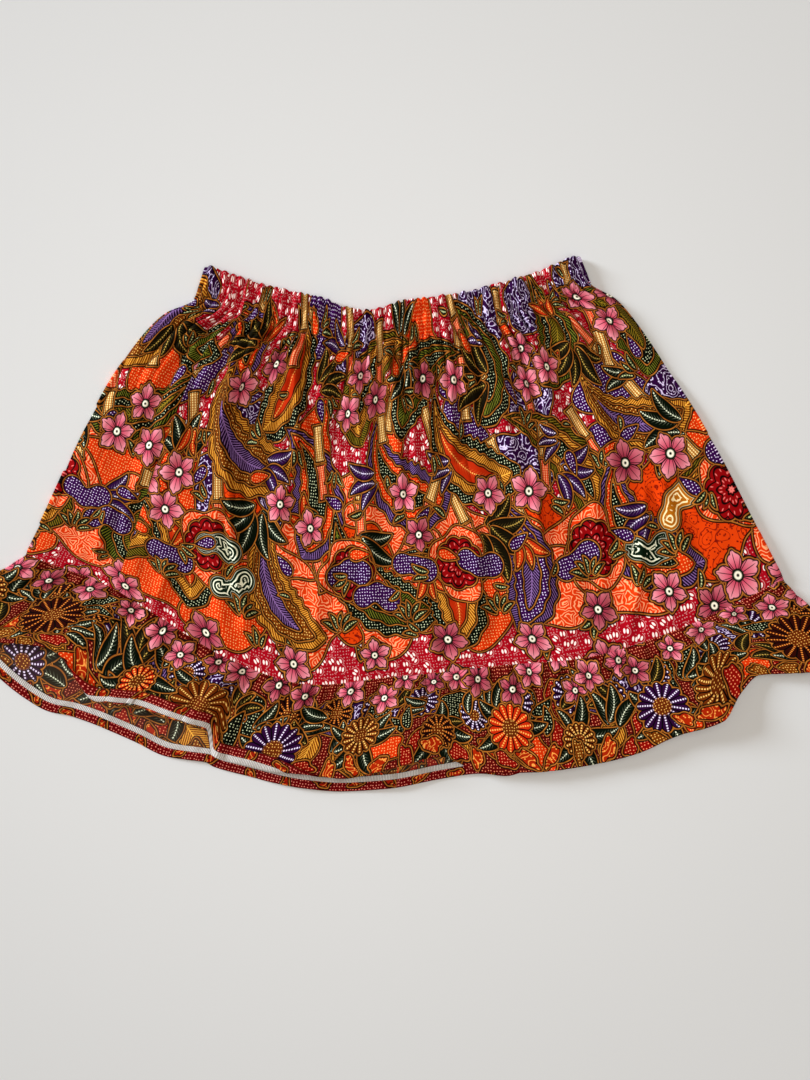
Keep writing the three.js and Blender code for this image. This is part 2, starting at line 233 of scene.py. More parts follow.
# Folds that the ruffle's gathers send down towards the hem, on the front.
RUFFLE_FOLDS = """at lean height width reach
0.05 0.0   2.2 0.010 0.8
0.10 0.01  2.6 0.012 1.0
0.15 0.0   2.0 0.009 0.6
0.19 -0.01 3.0 0.012 0.9
0.235 0.0  2.4 0.009 0.7
0.272 0.0  5.0 0.010 1.0
0.291 0.004 -6.5 0.005 1.3
0.302 0.0  3.6 0.006 1.2
0.315 0.0  2.2 0.009 0.6
0.36 0.01  2.6 0.010 0.9
0.41 0.0   2.8 0.010 0.7
0.455 -0.01 2.4 0.010 1.0
0.50 0.0   2.6 0.010 0.8
0.545 0.01 2.2 0.009 0.6
0.59 0.0   3.0 0.011 0.9
0.64 0.01  2.4 0.010 0.7
0.685 0.0  2.8 0.011 1.0
0.73 -0.01 2.2 0.009 0.6
0.775 0.0  2.8 0.011 0.9
0.82 0.01  2.6 0.011 1.0
0.865 0.0  3.2 0.012 1.0
0.91 0.0   2.2 0.010 0.8
0.955 0.0  2.4 0.012 0.9"""


def table(text):
    """Turns a table's text into one array for each named column."""
    names, *rows = [line.split() for line in text.splitlines()]
    return dict(zip(names, np.array(rows, float).T))


ROWS, FOLDS, SEAM_SWAY, HEM = table(ROWS), table(FOLDS), table(SEAM_SWAY), table(HEM)
CREASES, RUFFLE_FOLDS = table(CREASES), table(RUFFLE_FOLDS)
PANEL_GATHERS, RUFFLE_GATHER_SIZES = table(PANEL_GATHERS), table(RUFFLE_GATHER_SIZES)


def rows_of(columns):
    """Each row of a table as a dictionary."""
    return [dict(zip(columns, values)) for values in zip(*columns.values())]


def read(columns, key, column, place):
    """A column of a table read smoothly between its rows, without overshoot."""
    keys, values = columns[key], columns[column]
    place = np.clip(place, keys[0], keys[-1])
    row = np.clip(np.searchsorted(keys, place, side="right") - 1, 0, len(keys) - 2)
    steps = np.diff(keys)
    slopes = np.diff(values) / steps
    before, after = slopes[:-1], slopes[1:]
    both = np.where(before * after > 0, before + after, 1)
    inner = np.where(before * after > 0, 2 * before * after / both, 0)
    tangents = np.concatenate([slopes[:1], inner, slopes[-1:]])
    t = (place - keys[row]) / steps[row]
    return (
        (1 + 2 * t) * (1 - t) ** 2 * values[row]
        + t * (1 - t) ** 2 * steps[row] * tangents[row]
        + t * t * (3 - 2 * t) * values[row + 1]
        + t * t * (t - 1) * steps[row] * tangents[row + 1]
    )


def lerp(a, b, t):
    return a + (b - a) * t


def ramp(value, length=1):
    """0 to 1 over a length, and no further either way."""
    return np.clip(value / length, 0, 1)


def bell(away, width):
    """1 at 0, fading out smoothly on both sides."""
    return np.exp(-((away / width) ** 2))


def vary(index):
    """A fixed number from 0 to 1 for each whole number."""
    value = np.sin(index * 12.9898 + 4.1) * 43758.5453
    return value - np.floor(value)


def puckers(count, across):
    """Round crests with sharp valleys, none quite like the next in size or spacing."""
    drift = 0.24 * np.sin(2 * math.pi * 7.3 * across + count) + 0.13 * np.sin(97 * across)
    place = across * count + drift * 4 * across * (1 - across)
    index = np.clip(np.floor(place), 0, count - 1)
    return np.abs(np.sin(math.pi * place)) ** 0.55 * (0.55 + 0.45 * vary(index))


def side_bulge(across):
    return SIDE_BULGE * bell(np.minimum(across, 1 - across), SIDE_BULGE_WIDTH)


def inland(across):
    """0 at the side folds and 1 further in."""
    return ramp(np.minimum(across, 1 - across), SIDE_EASE)


def undulation(x, y, size, seed):
    """A smooth, fixed unevenness from about -1 to 1, with hollows about as far apart as size."""
    total = 0
    for k in range(4):
        turn = 2.4 * k + seed
        along = x * math.cos(turn) + y * math.sin(turn)
        total = total + np.sin(2 * math.pi * along / size / (1 + 0.21 * k) + 1.7 * k * seed)
    return total / 2.6


def crumples(x, y, *layers):
    """Uneven heights of several sizes together. Each layer is a depth, a size and a seed."""
    return sum(depth * undulation(x, y, size, seed) for depth, size, seed in layers)


def fold_lines(folds, across, travel, fade):
    """Heights of a table's folds. travel: 0 to 1 down the piece, for the lean of each fold."""
    total = 0
    for fold in rows_of(folds):
        off = across - fold["at"] - fold["lean"] * travel
        total = total + fold["height"] * fade(fold) * bell(off, fold["width"])
    return total


def gather_lines(sizes, place, down, seed, evenness, level):
    """Heights of a table's gathers about a level. Each dies out at its own length down."""
    total = 0
    for size in rows_of(sizes):
        own = vary(np.floor(place * size["count"]) + seed) ** evenness
        height = size["depth"] * (puckers(size["count"], place) - level)
        reach = lerp(size["least"], size["most"], own)
        total = total + height * ramp(down, size["start"]) * bell(down, reach)
    return total


def creases(x, y):
    """Depths of the listed creases, each with a ridge beside it, seen from above."""
    total = 0
    for crease in rows_of(CREASES):
        along_x, along_y = crease["x2"] - crease["x1"], crease["y2"] - crease["y1"]
        length = math.hypot(along_x, along_y)
        t = ((x - crease["x1"]) * along_x + (y - crease["y1"]) * along_y) / length**2
        side = ((x - crease["x1"]) * along_y - (y - crease["y1"]) * along_x) / length
        side = side + 1.5 * np.sin(5 * t + crease["x1"])
        ends = ramp(t / 0.15 + 0.5) * ramp((1 - t) / 0.25 + 0.3)
        width = crease["width"]
        form = bell(side, width) - 1.1 * bell(side - 1.7 * width, width)
        total = total + crease["depth"] * ends * form
    return total


def body_point(front, across, down):
    """Middle of the wall of the casing and panels on one layer, from the waist edge down."""
    left_x, left_y, right_x, right_y, sag, lift = (
        read(ROWS, "down", column, down)
        for column in ("leftX", "leftY", "rightX", "rightY", "sag", "lift")
    )
    x = lerp(left_x, right_x, across)
    even = 4 * across * (1 - across)
    bow = WAIST_BOW * even + WAIST_DIP * bell(across - WAIST_DIP_AT, WAIST_DIP_WIDTH)
    y = lerp(left_y, right_y, across) - sag * lerp(bow, even, ramp(down, WAIST_BOW_REACH))
    sway = ramp(down - SWAY_STARTS, SWAY_GROWS)
    y = y + sway**2 * read(SEAM_SWAY, "at", "shift", across)
    y = y + TOP_SCALLOP * puckers(GATHERS, across) * ramp(CASING_HEIGHT - down, CASING_HEIGHT)
    below = np.maximum(0, down - CASING_HEIGHT)
    if not front:
        wall = np.where(down < CASING_HEIGHT, CASING_WALL, CLOTH_WALL)
        z = wall / 2 + back_relief(across, below, x, y)
        return np.stack(np.broadcast_arrays(x, y, z), axis=-1)
    z = lift + side_bulge(across) * ramp(below, 30)
    reach = PUCKER_REACH * (0.5 + vary(np.floor(across * GATHERS) + 60))
    gathers = PANEL_PUCKER * puckers(GATHERS, across) * bell(below, reach)
    folds = fold_lines(
        FOLDS,
        across,
        below / PANEL_LENGTH,
        lambda fold: ramp(below, 20) * ramp(fold["reach"] - below, 90),
    )
    z = z + np.where(below > 0, gathers + folds + panel_relief(across, below, x, y), 0)
    return np.stack(np.broadcast_arrays(x, y, rest_above(z, BACK_FACE)), axis=-1)


def back_relief(across, below, x, y):
    """How far the back's cloth stands off the surface in its gathers and crumples."""
    rise = crumples(x, y, (0.5, 52, 2.1), (0.35, 23, 0.6))
    for depth, count, reach in ((0.9, 34, 80), (0.7, 19, 170)):
        rise = rise + depth * puckers(count, across) * bell(below, reach)
    ends = ramp(below, 10) * ramp(PANEL_LENGTH - below, 20)
    return np.clip(rise, 0, BACK_RISE) * inland(across) * ends


def rest_above(z, floor):
    """Heights kept above a floor, easing onto it."""
    return floor + SETTLING * np.logaddexp(0, (z - floor) / SETTLING)


def panel_relief(across, below, x, y):
    """What the cloth of the front adds to its wall: gathers that merge on their way down from
    the waist, creases and crumples."""
    cloth = bpy.context.scene.skirt_cloth
    place = across + 0.006 * undulation(x, y, 90, 0.7) * ramp(below, 60)
    gathers = gather_lines(PANEL_GATHERS, place, below, 7, 1.5, 0.55)
    form = crumples(x, y, (1.1, 64, 1.3), (0.6, 27, 2.9), (0.25, 12, 4.2)) - creases(x, y)
    ends = ramp(PANEL_LENGTH - below, 30) * ramp(below, 10)
    form = ends * inland(across) * form * cloth.crease_depth
    groove = SEAM_GROOVE * bell(PANEL_LENGTH - below, SEAM_GROOVE_WIDTH)
    return cloth.gather_depth * gathers + form - groove


def ruffle_point(front, across, fall, run):
    """Middle of the ruffle's wall. fall: 0 at the seam to 1 at the free edge's start, then run."""
    seam = body_point(front, across, np.full_like(across, CASING_HEIGHT + PANEL_LENGTH))
    hem_x = lerp(HEM["x"][0], HEM["x"][-1], across)
    flipped = np.maximum(0, read(HEM, "x", "flipped", hem_x)) if front else 0 * across
    straight = FREE_EDGE - flipped
    way_x = hem_x - seam[..., 0]
    way_y = read(HEM, "x", "front" if front else "back", hem_x) - seam[..., 1]
    whole = np.hypot(way_x, way_y)
    length = whole - straight - np.minimum(CURL_RADIUS, flipped)
    waves = np.sin(BACK_WAVES * math.pi * across) ** 2 * np.sin(math.pi * across)
    lift = BACK_LIFT * waves * fall * fall
    z = CLOTH_WALL / 2 + lift
    if front:
        top = seam[..., 2] + SEAM_GROOVE
        layers = lerp(top, FRONT_HEM_LIFT + lift + side_bulge(across), fall)
        layers = layers - SEAM_GROOVE * bell(length * fall, SEAM_GROOVE_WIDTH)
        gather = RUFFLE_PUCKER * puckers(RUFFLE_GATHERS, across) * (1 - fall) ** 1.5
        z = layers + gather * ramp(fall, 0.05)
        z = z + read(HEM, "x", "wave", hem_x) * fall**1.3
        z = rest_above(z + ruffle_relief(across, fall) - lift, BACK_FACE) + lift
    flat = np.minimum(run, straight)
    angle = np.clip((run - flat) / CURL_RADIUS, 0, math.pi)
    rest = run - flat - CURL_RADIUS * angle
    along = length * fall + flat + CURL_RADIUS * np.sin(angle) + rest * np.cos(angle)
    up = CURL_RADIUS * (1 - np.cos(angle)) + rest * np.sin(angle)
    x = seam[..., 0] + way_x / whole * along
    y = seam[..., 1] + way_y / whole * along
    return np.stack([x, y, z + up], axis=-1)


def ruffle_relief(across, fall):
    """What the ruffle's cloth adds to its wall: gathers below its seam and the folds they make."""
    place = across + 0.002 * np.sin(9 * fall + 60 * across)
    gathers = gather_lines(RUFFLE_GATHER_SIZES, place, fall, 3, 1.4, 0.5)
    folds = fold_lines(
        RUFFLE_FOLDS,
        across,
        fall,
        lambda fold: ramp(fall, 0.1) * ramp(1.25 * fold["reach"] - fall, 0.5),
    )
    return 1.05 * bpy.context.scene.skirt_cloth.gather_depth * gathers + 0.8 * folds


# ---- Round the tube ----
# A place round the tube is its share of the width and an angle: 0 on the front, pi on the back.
Places = namedtuple("Places", "across angle")


def front_places(start, end, count, angle=0.0):
    return Places(np.linspace(start, end, count), np.full(count, angle))


def back_places(start, end, count):
    return front_places(start, end, count, math.pi)


def side_turn(across, from_front, count=9):
    """Places round one side fold, without its two ends."""
    angles = np.linspace(0, math.pi, count + 2)[1:-1]
    return Places(np.full(count, float(across)), angles if from_front else angles[::-1])


def chain(*runs):
    """Joins runs of places into one."""
    return Places(*(np.concatenate(parts) for parts in zip(*runs)))


def tube_grid(layer, places, *row_values):
    """Points of the tube for every place and row. layer gives a point on either layer."""
    across = places.across[:, None] + 0 * row_values[0][None, :]
    values = [row[None, :] + 0 * across for row in row_values]
    upper, lower = layer(True, across, *values), layer(False, across, *values)
    inner = np.abs(across - 0.01)  # a little further in from either side fold
    nearer = layer(False, inner, *values) - lower
    nearer[..., 2] = 0
    inward = nearer / np.maximum(1e-6, np.linalg.norm(nearer, axis=-1, keepdims=True))
    middle, half = (upper + lower) / 2, (upper - lower) / 2
    radius = np.linalg.norm(half, axis=-1, keepdims=True)
    angle = places.angle[:, None, None]
    return middle + half * np.cos(angle) - inward * radius * np.sin(angle)


def grid_normals(points):
    """Outward normals of a grid of points, places by rows."""
    normals = np.cross(np.gradient(points, axis=1), np.gradient(points, axis=0))
    return normals / np.maximum(1e-9, np.linalg.norm(normals, axis=-1, keepdims=True))


# ---- Meshes ----
def add_object(name, data):
    made = bpy.data.objects.new(name, data)
    bpy.context.scene.collection.objects.link(made)
    return made


def piece_from_grid(name, points, cloth_places):
    """A piece of cloth from a bmesh grid moved onto points. cloth_places is where each lies on
    the cut cloth, in millimetres."""
    columns, rows = points.shape[:2]
    mesh = bpy.data.meshes.new(name)
    bm = bmesh.new()
    bmesh.ops.create_grid(bm, x_segments=columns - 1, y_segments=rows - 1, size=1)
    bm.to_mesh(mesh)
    bm.free()
    corners = np.empty(len(mesh.vertices) * 3, np.float32)
    mesh.vertices.foreach_get("co", corners)
    corners = corners.reshape(-1, 3)
    i = np.rint((corners[:, 0] + 1) / 2 * (columns - 1)).astype(int)
    j = np.rint((corners[:, 1] + 1) / 2 * (rows - 1)).astype(int)
    mesh.vertices.foreach_set("co", (points[i, j] * MM).astype(np.float32).ravel())
    flat = np.zeros((len(i), 3), np.float32)
    flat[:, :2] = cloth_places[i, j]
    mesh.attributes.new("cloth", "FLOAT_VECTOR", "POINT").data.foreach_set("vector", flat.ravel())
    mesh.update()
    if outward_share(mesh, points, i, j) < 0:
        mesh.flip_normals()
    mesh.shade_smooth()
    return add_object(name, mesh)


def outward_share(mesh, points, i, j):
    """Above 0 where the mesh's normals agree with the grid's own outward ones."""
    normals = np.empty(len(mesh.vertices) * 3, np.float32)
    mesh.vertex_normals.foreach_get("vector", normals)
    return float((normals.reshape(-1, 3) * grid_normals(points)[i, j]).sum())


def finish_modifiers(piece):
    """Applies a piece's modifiers to its mesh."""
    graph = bpy.context.evaluated_depsgraph_get()
    whole = bpy.data.meshes.new_from_object(piece.evaluated_get(graph))
    piece.modifiers.clear()
    old = piece.data
    piece.data = whole
    whole.name = old.name
    bpy.data.meshes.remove(old)


def thicken(piece, thickness, inside_slot):
    """Gives a sheet its thickness, inwards. inside_slot: the inner face's material, counted on
    from the outer's."""
    solid = piece.modifiers.new("Cloth thickness", "SOLIDIFY")
    solid.thickness = thickness * MM
    solid.offset = -1
    solid.material_offset = inside_slot
    finish_modifiers(piece)


# ---- The print ----
# Patterns that a motif's cloth can carry; the material draws each from its number.
DOTS, MAZE, BUDS, CURLS, BARBS, MIDRIB, PETALS, RAYS, CANE, RINGS, ROUNDEL = range(1, 12)

Style = namedtuple("Style", "ground mark kind")

STYLES = {
    "crimson buds": Style("#B4122E", "#FFF2EA", BUDS),
    "crimson dots": Style("#74100E", "#E89C78", DOTS),
    "orange maze": Style("#E25216", "#FFBC90", MAZE),
    "orange dots": Style("#DC4E10", "#FCC484", DOTS),
    "orange swirls": Style("#DE5812", "#8C1E08", CURLS),
    "purple curls": Style("#42104C", "#E8DCF4", CURLS),
    "purple dots": Style("#501860", "#F0E4F8", DOTS),
    "purple barbs": Style("#340E40", "#A080B0", BARBS),
    "green dots": Style("#101C0A", "#DCE2BC", DOTS),
    "olive barbs": Style("#363408", "#A08A30", BARBS),
    "dark green barbs": Style("#142008", "#8E9038", BARBS),
    "gold barbs": Style("#96560E", "#F0BC58", BARBS),
    "gold dots": Style("#8C5010", "#F4CE7C", DOTS),
    "green leaf": Style("#10200A", "#F0F4D8", MIDRIB),
    "olive leaf": Style("#28220A", "#D4B868", MIDRIB),
    "purple leaf": Style("#441452", "#F2EAF8", MIDRIB),
    "orange leaf": Style("#C04010", "#F8C470", MIDRIB),
    "rose flower": Style("#CE6276", "#FFC8CC", PETALS),
    "dusky flower": Style("#B04C60", "#E8A2A6", PETALS),
    "purple daisy": Style("#440F4A", "#F6ECFC", RAYS),
    "gold daisy": Style("#864609", "#FAD484", RAYS),
    "brown daisy": Style("#461406", "#EEA050", RAYS),
    "orange daisy": Style("#CC400E", "#FFC470", RAYS),
    "tan cane": Style("#B87E34", "#FAE4A8", CANE),
    "orange cane": Style("#DA5220", "#FFBC90", CANE),
    "green cloud": Style("#16301C", "#F0F0D8", RINGS),
    "gold cloud": Style("#BC7C1E", "#FCECC0", RINGS),
    "purple cloud": Style("#4A1658", "#E8DCF4", DOTS),
    "red roundel": Style("#A00C16", "#F09088", ROUNDEL),
    "pod": Style("#14240A", "#D8DCA8", MIDRIB),
    "red cloud": Style("#9E180A", "#FCAC80", DOTS),
    "rust cloud": Style("#B43A08", "#FAB864", CURLS),
    "hem red": Style("#7C0A12", "#EC9C88", DOTS),
    "hem orange": Style("#A8300C", "#F4AC5C", CURLS),
}

# shape: a function below. a and b: half length and half width. seed: unevenness of the shape.
# bend: half the angle that its length curves through. A shape's function takes places seen from
# the motif's middle, a, b and the seed, and gives how far outside its outline they lie.
Motif = namedtuple("Motif", "shape u v turn a b seed style bend", defaults=(0.0,))


def linear(colour):
    """An sRGB hex colour as three linear numbers."""
    values = [int(colour[k : k + 2], 16) / 255 for k in (1, 3, 5)]
    return [v / 12.92 if v <= 0.04045 else ((v + 0.055) / 1.055) ** 2.4 for v in values]


def round_patch(x, y, a, b, seed):
    angle = np.arctan2(y / b, x / a)
    uneven = 1 + 0.13 * np.sin(3 * angle + seed) + 0.08 * np.sin(5 * angle + 2.1 * seed)
    return (np.hypot(x / a, y / b) - uneven) * min(a, b)


def blossom(x, y, a, b, seed):
    """Five broad, pointed petals."""
    angle = np.arctan2(y, x)
    lobe = np.abs(np.cos(2.5 * angle))
    tip = 0.1 * np.maximum(0, lobe - 0.93) / 0.07
    return np.hypot(x, y) - a * (0.48 + 0.4 * lobe**0.5 + tip + 0.05 * np.sin(angle + seed))


def daisy(x, y, a, b, seed):
    """Fourteen narrow petals round a disc."""
    angle = np.arctan2(y, x)
    return np.hypot(x, y) - a * (0.8 + 0.18 * np.abs(np.cos(7 * angle)) ** 0.6)


def scalloped(x, y, a, b, seed):
    angle = np.arctan2(y, x)
    return np.hypot(x, y) - a * (0.86 + 0.13 * np.abs(np.cos(4.5 * angle + seed)) ** 0.6)


def slender(x, y, a, half):
    """A shape along x, cut off at its ends, whose half width is given at each place."""
    return np.maximum(np.abs(y) - half, np.abs(x) - a)


def leaf(x, y, a, b, seed):
    t = ramp(x + a, 2 * a)
    return slender(x, y, a, b * np.sin(math.pi * t**0.8) ** 0.75)


def plume(x, y, a, b, seed):
    """A long feather, widest near its tip, with a softly waved edge."""
    t = ramp(x + a, 2 * a)
    wave = 1 + 0.06 * np.cos(2 * math.pi * x / 15 + seed)
    return slender(x, y, a, b * np.sin(math.pi * t**1.5) ** 0.7 * wave)


def cane(x, y, a, b, seed):
    """One length of cane between two nodes, wider at its ends."""
    return slender(x, y, a, b * (0.82 + 0.3 * bell(a - np.abs(x), 3)))


def drop(x, y, a, b, seed):
    t = ramp(x + a, 2 * a)
    half = b * np.sqrt(np.maximum(0, np.sin(math.pi * t))) * (0.35 + 0.75 * t)
    return slender(x, y, a, half)


def cloud(x, y, a, b, seed):
    """Three soft lobes in a row, run together."""
    total = 0
    for place, size in ((-0.6, 0.85), (0.02, 0.62), (0.6, 0.95)):
        across = y - 0.35 * b * math.sin(seed + 5 * place)
        total = total + np.exp(-(np.hypot(x - place * a, across) - size * b) / (0.3 * b))
    return -0.3 * b * np.log(total)


def local_places(motif, points):
    """Places on the cloth seen from a motif's middle, along its turn and round its bend."""
    du, dv = points[..., 0] - motif.u, points[..., 1] - motif.v
    c, s = math.cos(motif.turn), math.sin(motif.turn)
    x, y = du * c + dv * s, dv * c - du * s
    if not motif.bend:
        return x, y
    radius, side = motif.a / abs(motif.bend), math.copysign(1, motif.bend)
    off = radius - side * y
    return radius * np.arctan2(x, off), side * (radius - np.hypot(x, off))


def outline_distance(motif, points):
    """About how far each place lies outside the motif's outline, below 0 inside it."""
    x, y = local_places(motif, points)
    shape = lambda px, py: motif.shape(px, py, motif.a, motif.b, motif.seed)
    here, step = shape(x, y), 0.2
    slope = np.hypot(shape(x + step, y) - here, shape(x, y + step) - here) / step
    return here / np.clip(slope, 0.5, 3)


def paint(piece, motifs, ground):
    """Writes on each face what its print needs: the nearest outline, and what lies on each side.

    edge: distance to that outline, below 0 within its motif. in and out: the motif within the
    outline and the one round it, as colours, pattern and place seen from the motif's middle."""
    mesh = piece.data
    places = np.empty(len(mesh.vertices) * 3, np.float32)
    mesh.attributes["cloth"].data.foreach_get("vector", places)
    places = places.reshape(-1, 3)[:, :2].astype(float)
    index = np.empty(len(mesh.loops), np.int32)
    mesh.loops.foreach_get("vertex_index", index)
    corners = places[index].reshape(-1, 4, 2)
    centres = corners.mean(axis=1)

    far, blend = 40.0, 3.0
    top = np.zeros(len(centres), int)
    line, under = top.copy(), top.copy()
    near = np.full(len(centres), far)
    for number, motif in enumerate(motifs, 1):
        reach = 1.4 * max(motif.a, motif.b) + 2 * blend
        away = np.abs(centres - (motif.u, motif.v)).max(axis=1)
        pick = np.flatnonzero(away < reach)
        distance = outline_distance(motif, centres[pick])
        change = (distance < 0) | (distance < near[pick])
        pick, distance = pick[change], distance[change]
        line[pick], under[pick] = number, top[pick]
        near[pick] = np.abs(distance)
        top[pick[distance < 0]] = number
    inner, outer = line.copy(), under.copy()
    plain = near > blend
    inner[plain] = outer[plain] = top[plain]

    edge = np.full(corners.shape[:2], far)
    place_in, place_out = np.zeros((2, *corners.shape[:2], 3))
    for number, motif in enumerate(motifs, 1):
        faces = np.flatnonzero(line == number)
        if faces.size:
            edge[faces] = outline_distance(motif, corners[faces])
        for labels, local in ((inner, place_in), (outer, place_out)):
            faces = np.flatnonzero(labels == number)
            if faces.size:
                x, y = local_places(motif, corners[faces])
                local[faces] = np.stack([x, y, np.full_like(x, motif.a)], axis=-1)

    styles = [STYLES[ground]] + [STYLES[motif.style] for motif in motifs]
    grounds = np.array([linear(style.ground) for style in styles])
    marks = np.array([linear(style.mark) for style in styles])
    kinds = np.array([float(style.kind) for style in styles])
    write = lambda name, kind, domain, key, values: mesh.attributes.new(
        name, kind, domain
    ).data.foreach_set(key, np.ascontiguousarray(values, np.float32).ravel())
    write("edge", "FLOAT", "CORNER", "value", edge)
    write("place_in", "FLOAT_VECTOR", "CORNER", "vector", place_in)
    write("place_out", "FLOAT_VECTOR", "CORNER", "vector", place_out)
    for side, labels in (("in", inner), ("out", outer)):
        write("ground_" + side, "FLOAT_VECTOR", "FACE", "vector", grounds[labels])
        write("mark_" + side, "FLOAT_VECTOR", "FACE", "vector", marks[labels])
        write("kind_" + side, "FLOAT", "FACE", "value", kinds[labels])


def moved(motifs, along):
    return [motif._replace(u=motif.u + along) for motif in motifs]


def spot(rng, shape, u, v, most_turn, a, b, style):
    """A motif at a chance turn and with an unevenness of its own."""
    return Motif(shape, u, v, rng.uniform(0, most_turn), a, b, rng.uniform(0, 6), style)


def scatter(rng, width, height, step_u, step_v, jitter):
    """Places on a loose, staggered grid."""
    rows = max(1, round(height / step_v))
    for row in range(rows):
        count = max(1, round(width / step_u))
        for k in range(count):
            u = (k + 0.25 + 0.5 * (row % 2)) * width / count
            v = (row + 0.5) * height / rows
            yield u + rng.uniform(-jitter, jitter), v + rng.uniform(-jitter, jitter)


def leaf_spray(rng, u, v, turn, count, length, style, spread=34):
    """Curved leaves fanned out from one stalk."""
    for k in range(count):
        side = k - (count - 1) / 2
        angle = turn + math.radians(spread) * side
        half = length / 2 * rng.uniform(0.85, 1.1)
        cu, cv = u + (half + 2) * math.cos(angle), v + (half + 2) * math.sin(angle)
        bend = 0.5 * math.copysign(1, side or rng.uniform(-1, 1))
        yield Motif(leaf, cu, cv, angle, half, 0.38 * half, 0, style, bend)


def cane_stalk(rng, u, v, turn, sections):
    """A stalk of cane: sections end to end, tan and orange in turn."""
    half = rng.uniform(14, 18)
    for k in range(sections):
        away = (2 * half + 1.2) * (k - (sections - 1) / 2)
        style = ("tan cane", "orange cane")[k % 2]
        cu, cv = u + away * math.cos(turn), v + away * math.sin(turn)
        yield Motif(cane, cu, cv, turn, half, 6.4, 0, style)


def feather(rng, u, v, turn, a, b, bend, styles):
    """A long curved feather: bands of different patterns, one within the other."""
    seed = rng.uniform(0, 6)
    for style, long, wide in zip(styles, (1.0, 0.86, 0.66), (1.0, 0.66, 0.34)):
        yield Motif(plume, u, v, turn, a * long, b * wide, seed, style, bend * long)


def flower_cluster(rng, u, v, count, size):
    """Flowers set round one place, touching each other."""
    start = rng.uniform(0, 2 * math.pi)
    for k in range(count):
        angle = start + 2 * math.pi * k / count
        away = 0 if count == 1 else size * rng.uniform(0.95, 1.1)
        style = ("rose flower", "dusky flower")[rng.random() < 0.25]
        turn = rng.uniform(0, 2 * math.pi)
        half = size * rng.uniform(0.88, 1.05)
        cu, cv = u + away * math.cos(angle), v + away * math.sin(angle)
        yield Motif(blossom, cu, cv, turn, half, half, rng.uniform(0, 6), style)


FEATHERS = (
    ("green dots", "dark green barbs", "green dots"),
    ("gold barbs", "gold dots", "purple barbs"),
    ("dark green barbs", "green dots", "olive barbs"),
    ("olive barbs", "gold barbs", "green dots"),
    ("purple barbs", "purple dots", "purple barbs"),
    ("purple barbs", "orange dots", "green dots"),
    ("green dots", "gold barbs", "orange leaf"),
)


def panel_print(seed, width, height):
    """A generic all-over layout for a panel, from its large patches up to its small sprigs."""
    rng = random.Random(seed)
    pick = rng.choice
    patch = partial(spot, rng, round_patch, most_turn=3)
    motifs = []
    low = 0.74 * height  # where the rows of clouds and roundels lie

    for u, v in scatter(rng, width, 0.66 * height, 96, 76, 16):
        style = pick(("purple curls", "orange dots", "orange maze", "purple dots", "purple curls"))
        a, b = rng.uniform(30, 46), rng.uniform(24, 36)
        motifs.append(patch(u, v, a=a, b=b, style=style))
    for u, v in scatter(rng, width, 108, 78, 36, 8):
        style = pick(("orange maze", "orange dots", "orange maze", "orange swirls"))
        a, b = rng.uniform(42, 54), rng.uniform(28, 38)
        motifs.append(patch(u, v + low - 58, a=a, b=b, style=style))
    for u, v in scatter(rng, width, 0.7 * height, 84, 96, 14):
        turn = math.radians(90 + rng.uniform(-24, 24))
        motifs += cane_stalk(rng, u, v, turn, pick((3, 3, 4)))
    for u, v in scatter(rng, width, 0.84 * height, 98, 84, 14):
        turn = math.radians(rng.uniform(30, 150))
        bend = rng.uniform(0.7, 1.4) * pick((-1, 1))
        a, b = rng.uniform(60, 84), rng.uniform(22, 31)
        motifs += feather(rng, u, v + 8, turn, a, b, bend, pick(FEATHERS))
    for u, v in scatter(rng, width, 0.6 * height, 150, 110, 26):
        turn = math.radians(90 + rng.uniform(-30, 30))
        motifs += cane_stalk(rng, u, v, turn, pick((2, 3)))
    for u, v in scatter(rng, width, 0.75 * height, 120, 110, 20):
        style = pick(("green leaf", "purple leaf", "olive leaf"))
        turn, count, length = rng.uniform(0, 6), pick((4, 5)), rng.uniform(34, 46)
        motifs += leaf_spray(rng, u, v, turn, count, length, style)
    for u, v in scatter(rng, width, 0.8 * height, 112, 98, 18):
        style = pick(("olive leaf", "purple leaf", "orange leaf", "green leaf"))
        turn, count, length = rng.uniform(0, 6), pick((2, 3)), rng.uniform(26, 38)
        motifs += leaf_spray(rng, u, v, turn, count, length, style)
    for u, v in scatter(rng, width, 24, 136, 24, 12):
        v = v + low - 14
        motifs.append(patch(u, v, a=35, b=27, style="orange maze"))
        motifs.append(Motif(scalloped, u, v, 0, 25, 25, rng.uniform(0, 6), "red roundel"))
    for u, v in scatter(rng, width, 52, 72, 26, 8):
        style = pick(("green cloud", "gold cloud", "purple cloud", "green cloud", "purple dots"))
        turn, uneven = rng.uniform(-0.5, 0.5), rng.uniform(0, 6)
        if rng.random() < 0.5:
            motifs.append(Motif(cloud, u, v + low - 24, turn, 23, 12, uneven, style))
    for u, v in scatter(rng, width, 20, 88, 20, 10):
        motifs += leaf_spray(rng, u, v + low + 22, -math.pi / 2, 5, 18, "pod", 30)
    for u, v in scatter(rng, width, 0.8 * height, 84, 70, 18):
        turn = rng.uniform(0, 6)
        motifs.append(Motif(drop, u, v, turn, 12, 7.5, 0, pick(("purple dots", "orange dots"))))
    for u, v in scatter(rng, width, height, 56, 56, 14):
        turn, count, length = rng.uniform(0, 6), pick((1, 2, 3)), rng.uniform(14, 19)
        motifs += leaf_spray(rng, u, v, turn, count, length, "pod")
    for u, v in scatter(rng, width, 0.66 * height, 138, 92, 22):
        motifs += flower_cluster(rng, u, v + 14, pick((2, 3, 3)), rng.uniform(19, 22))
    for u, v in scatter(rng, width, 16, 74, 16, 8):
        motifs += flower_cluster(rng, u, v + height - 24, pick((1, 1, 2)), rng.uniform(18, 21))
    return motifs


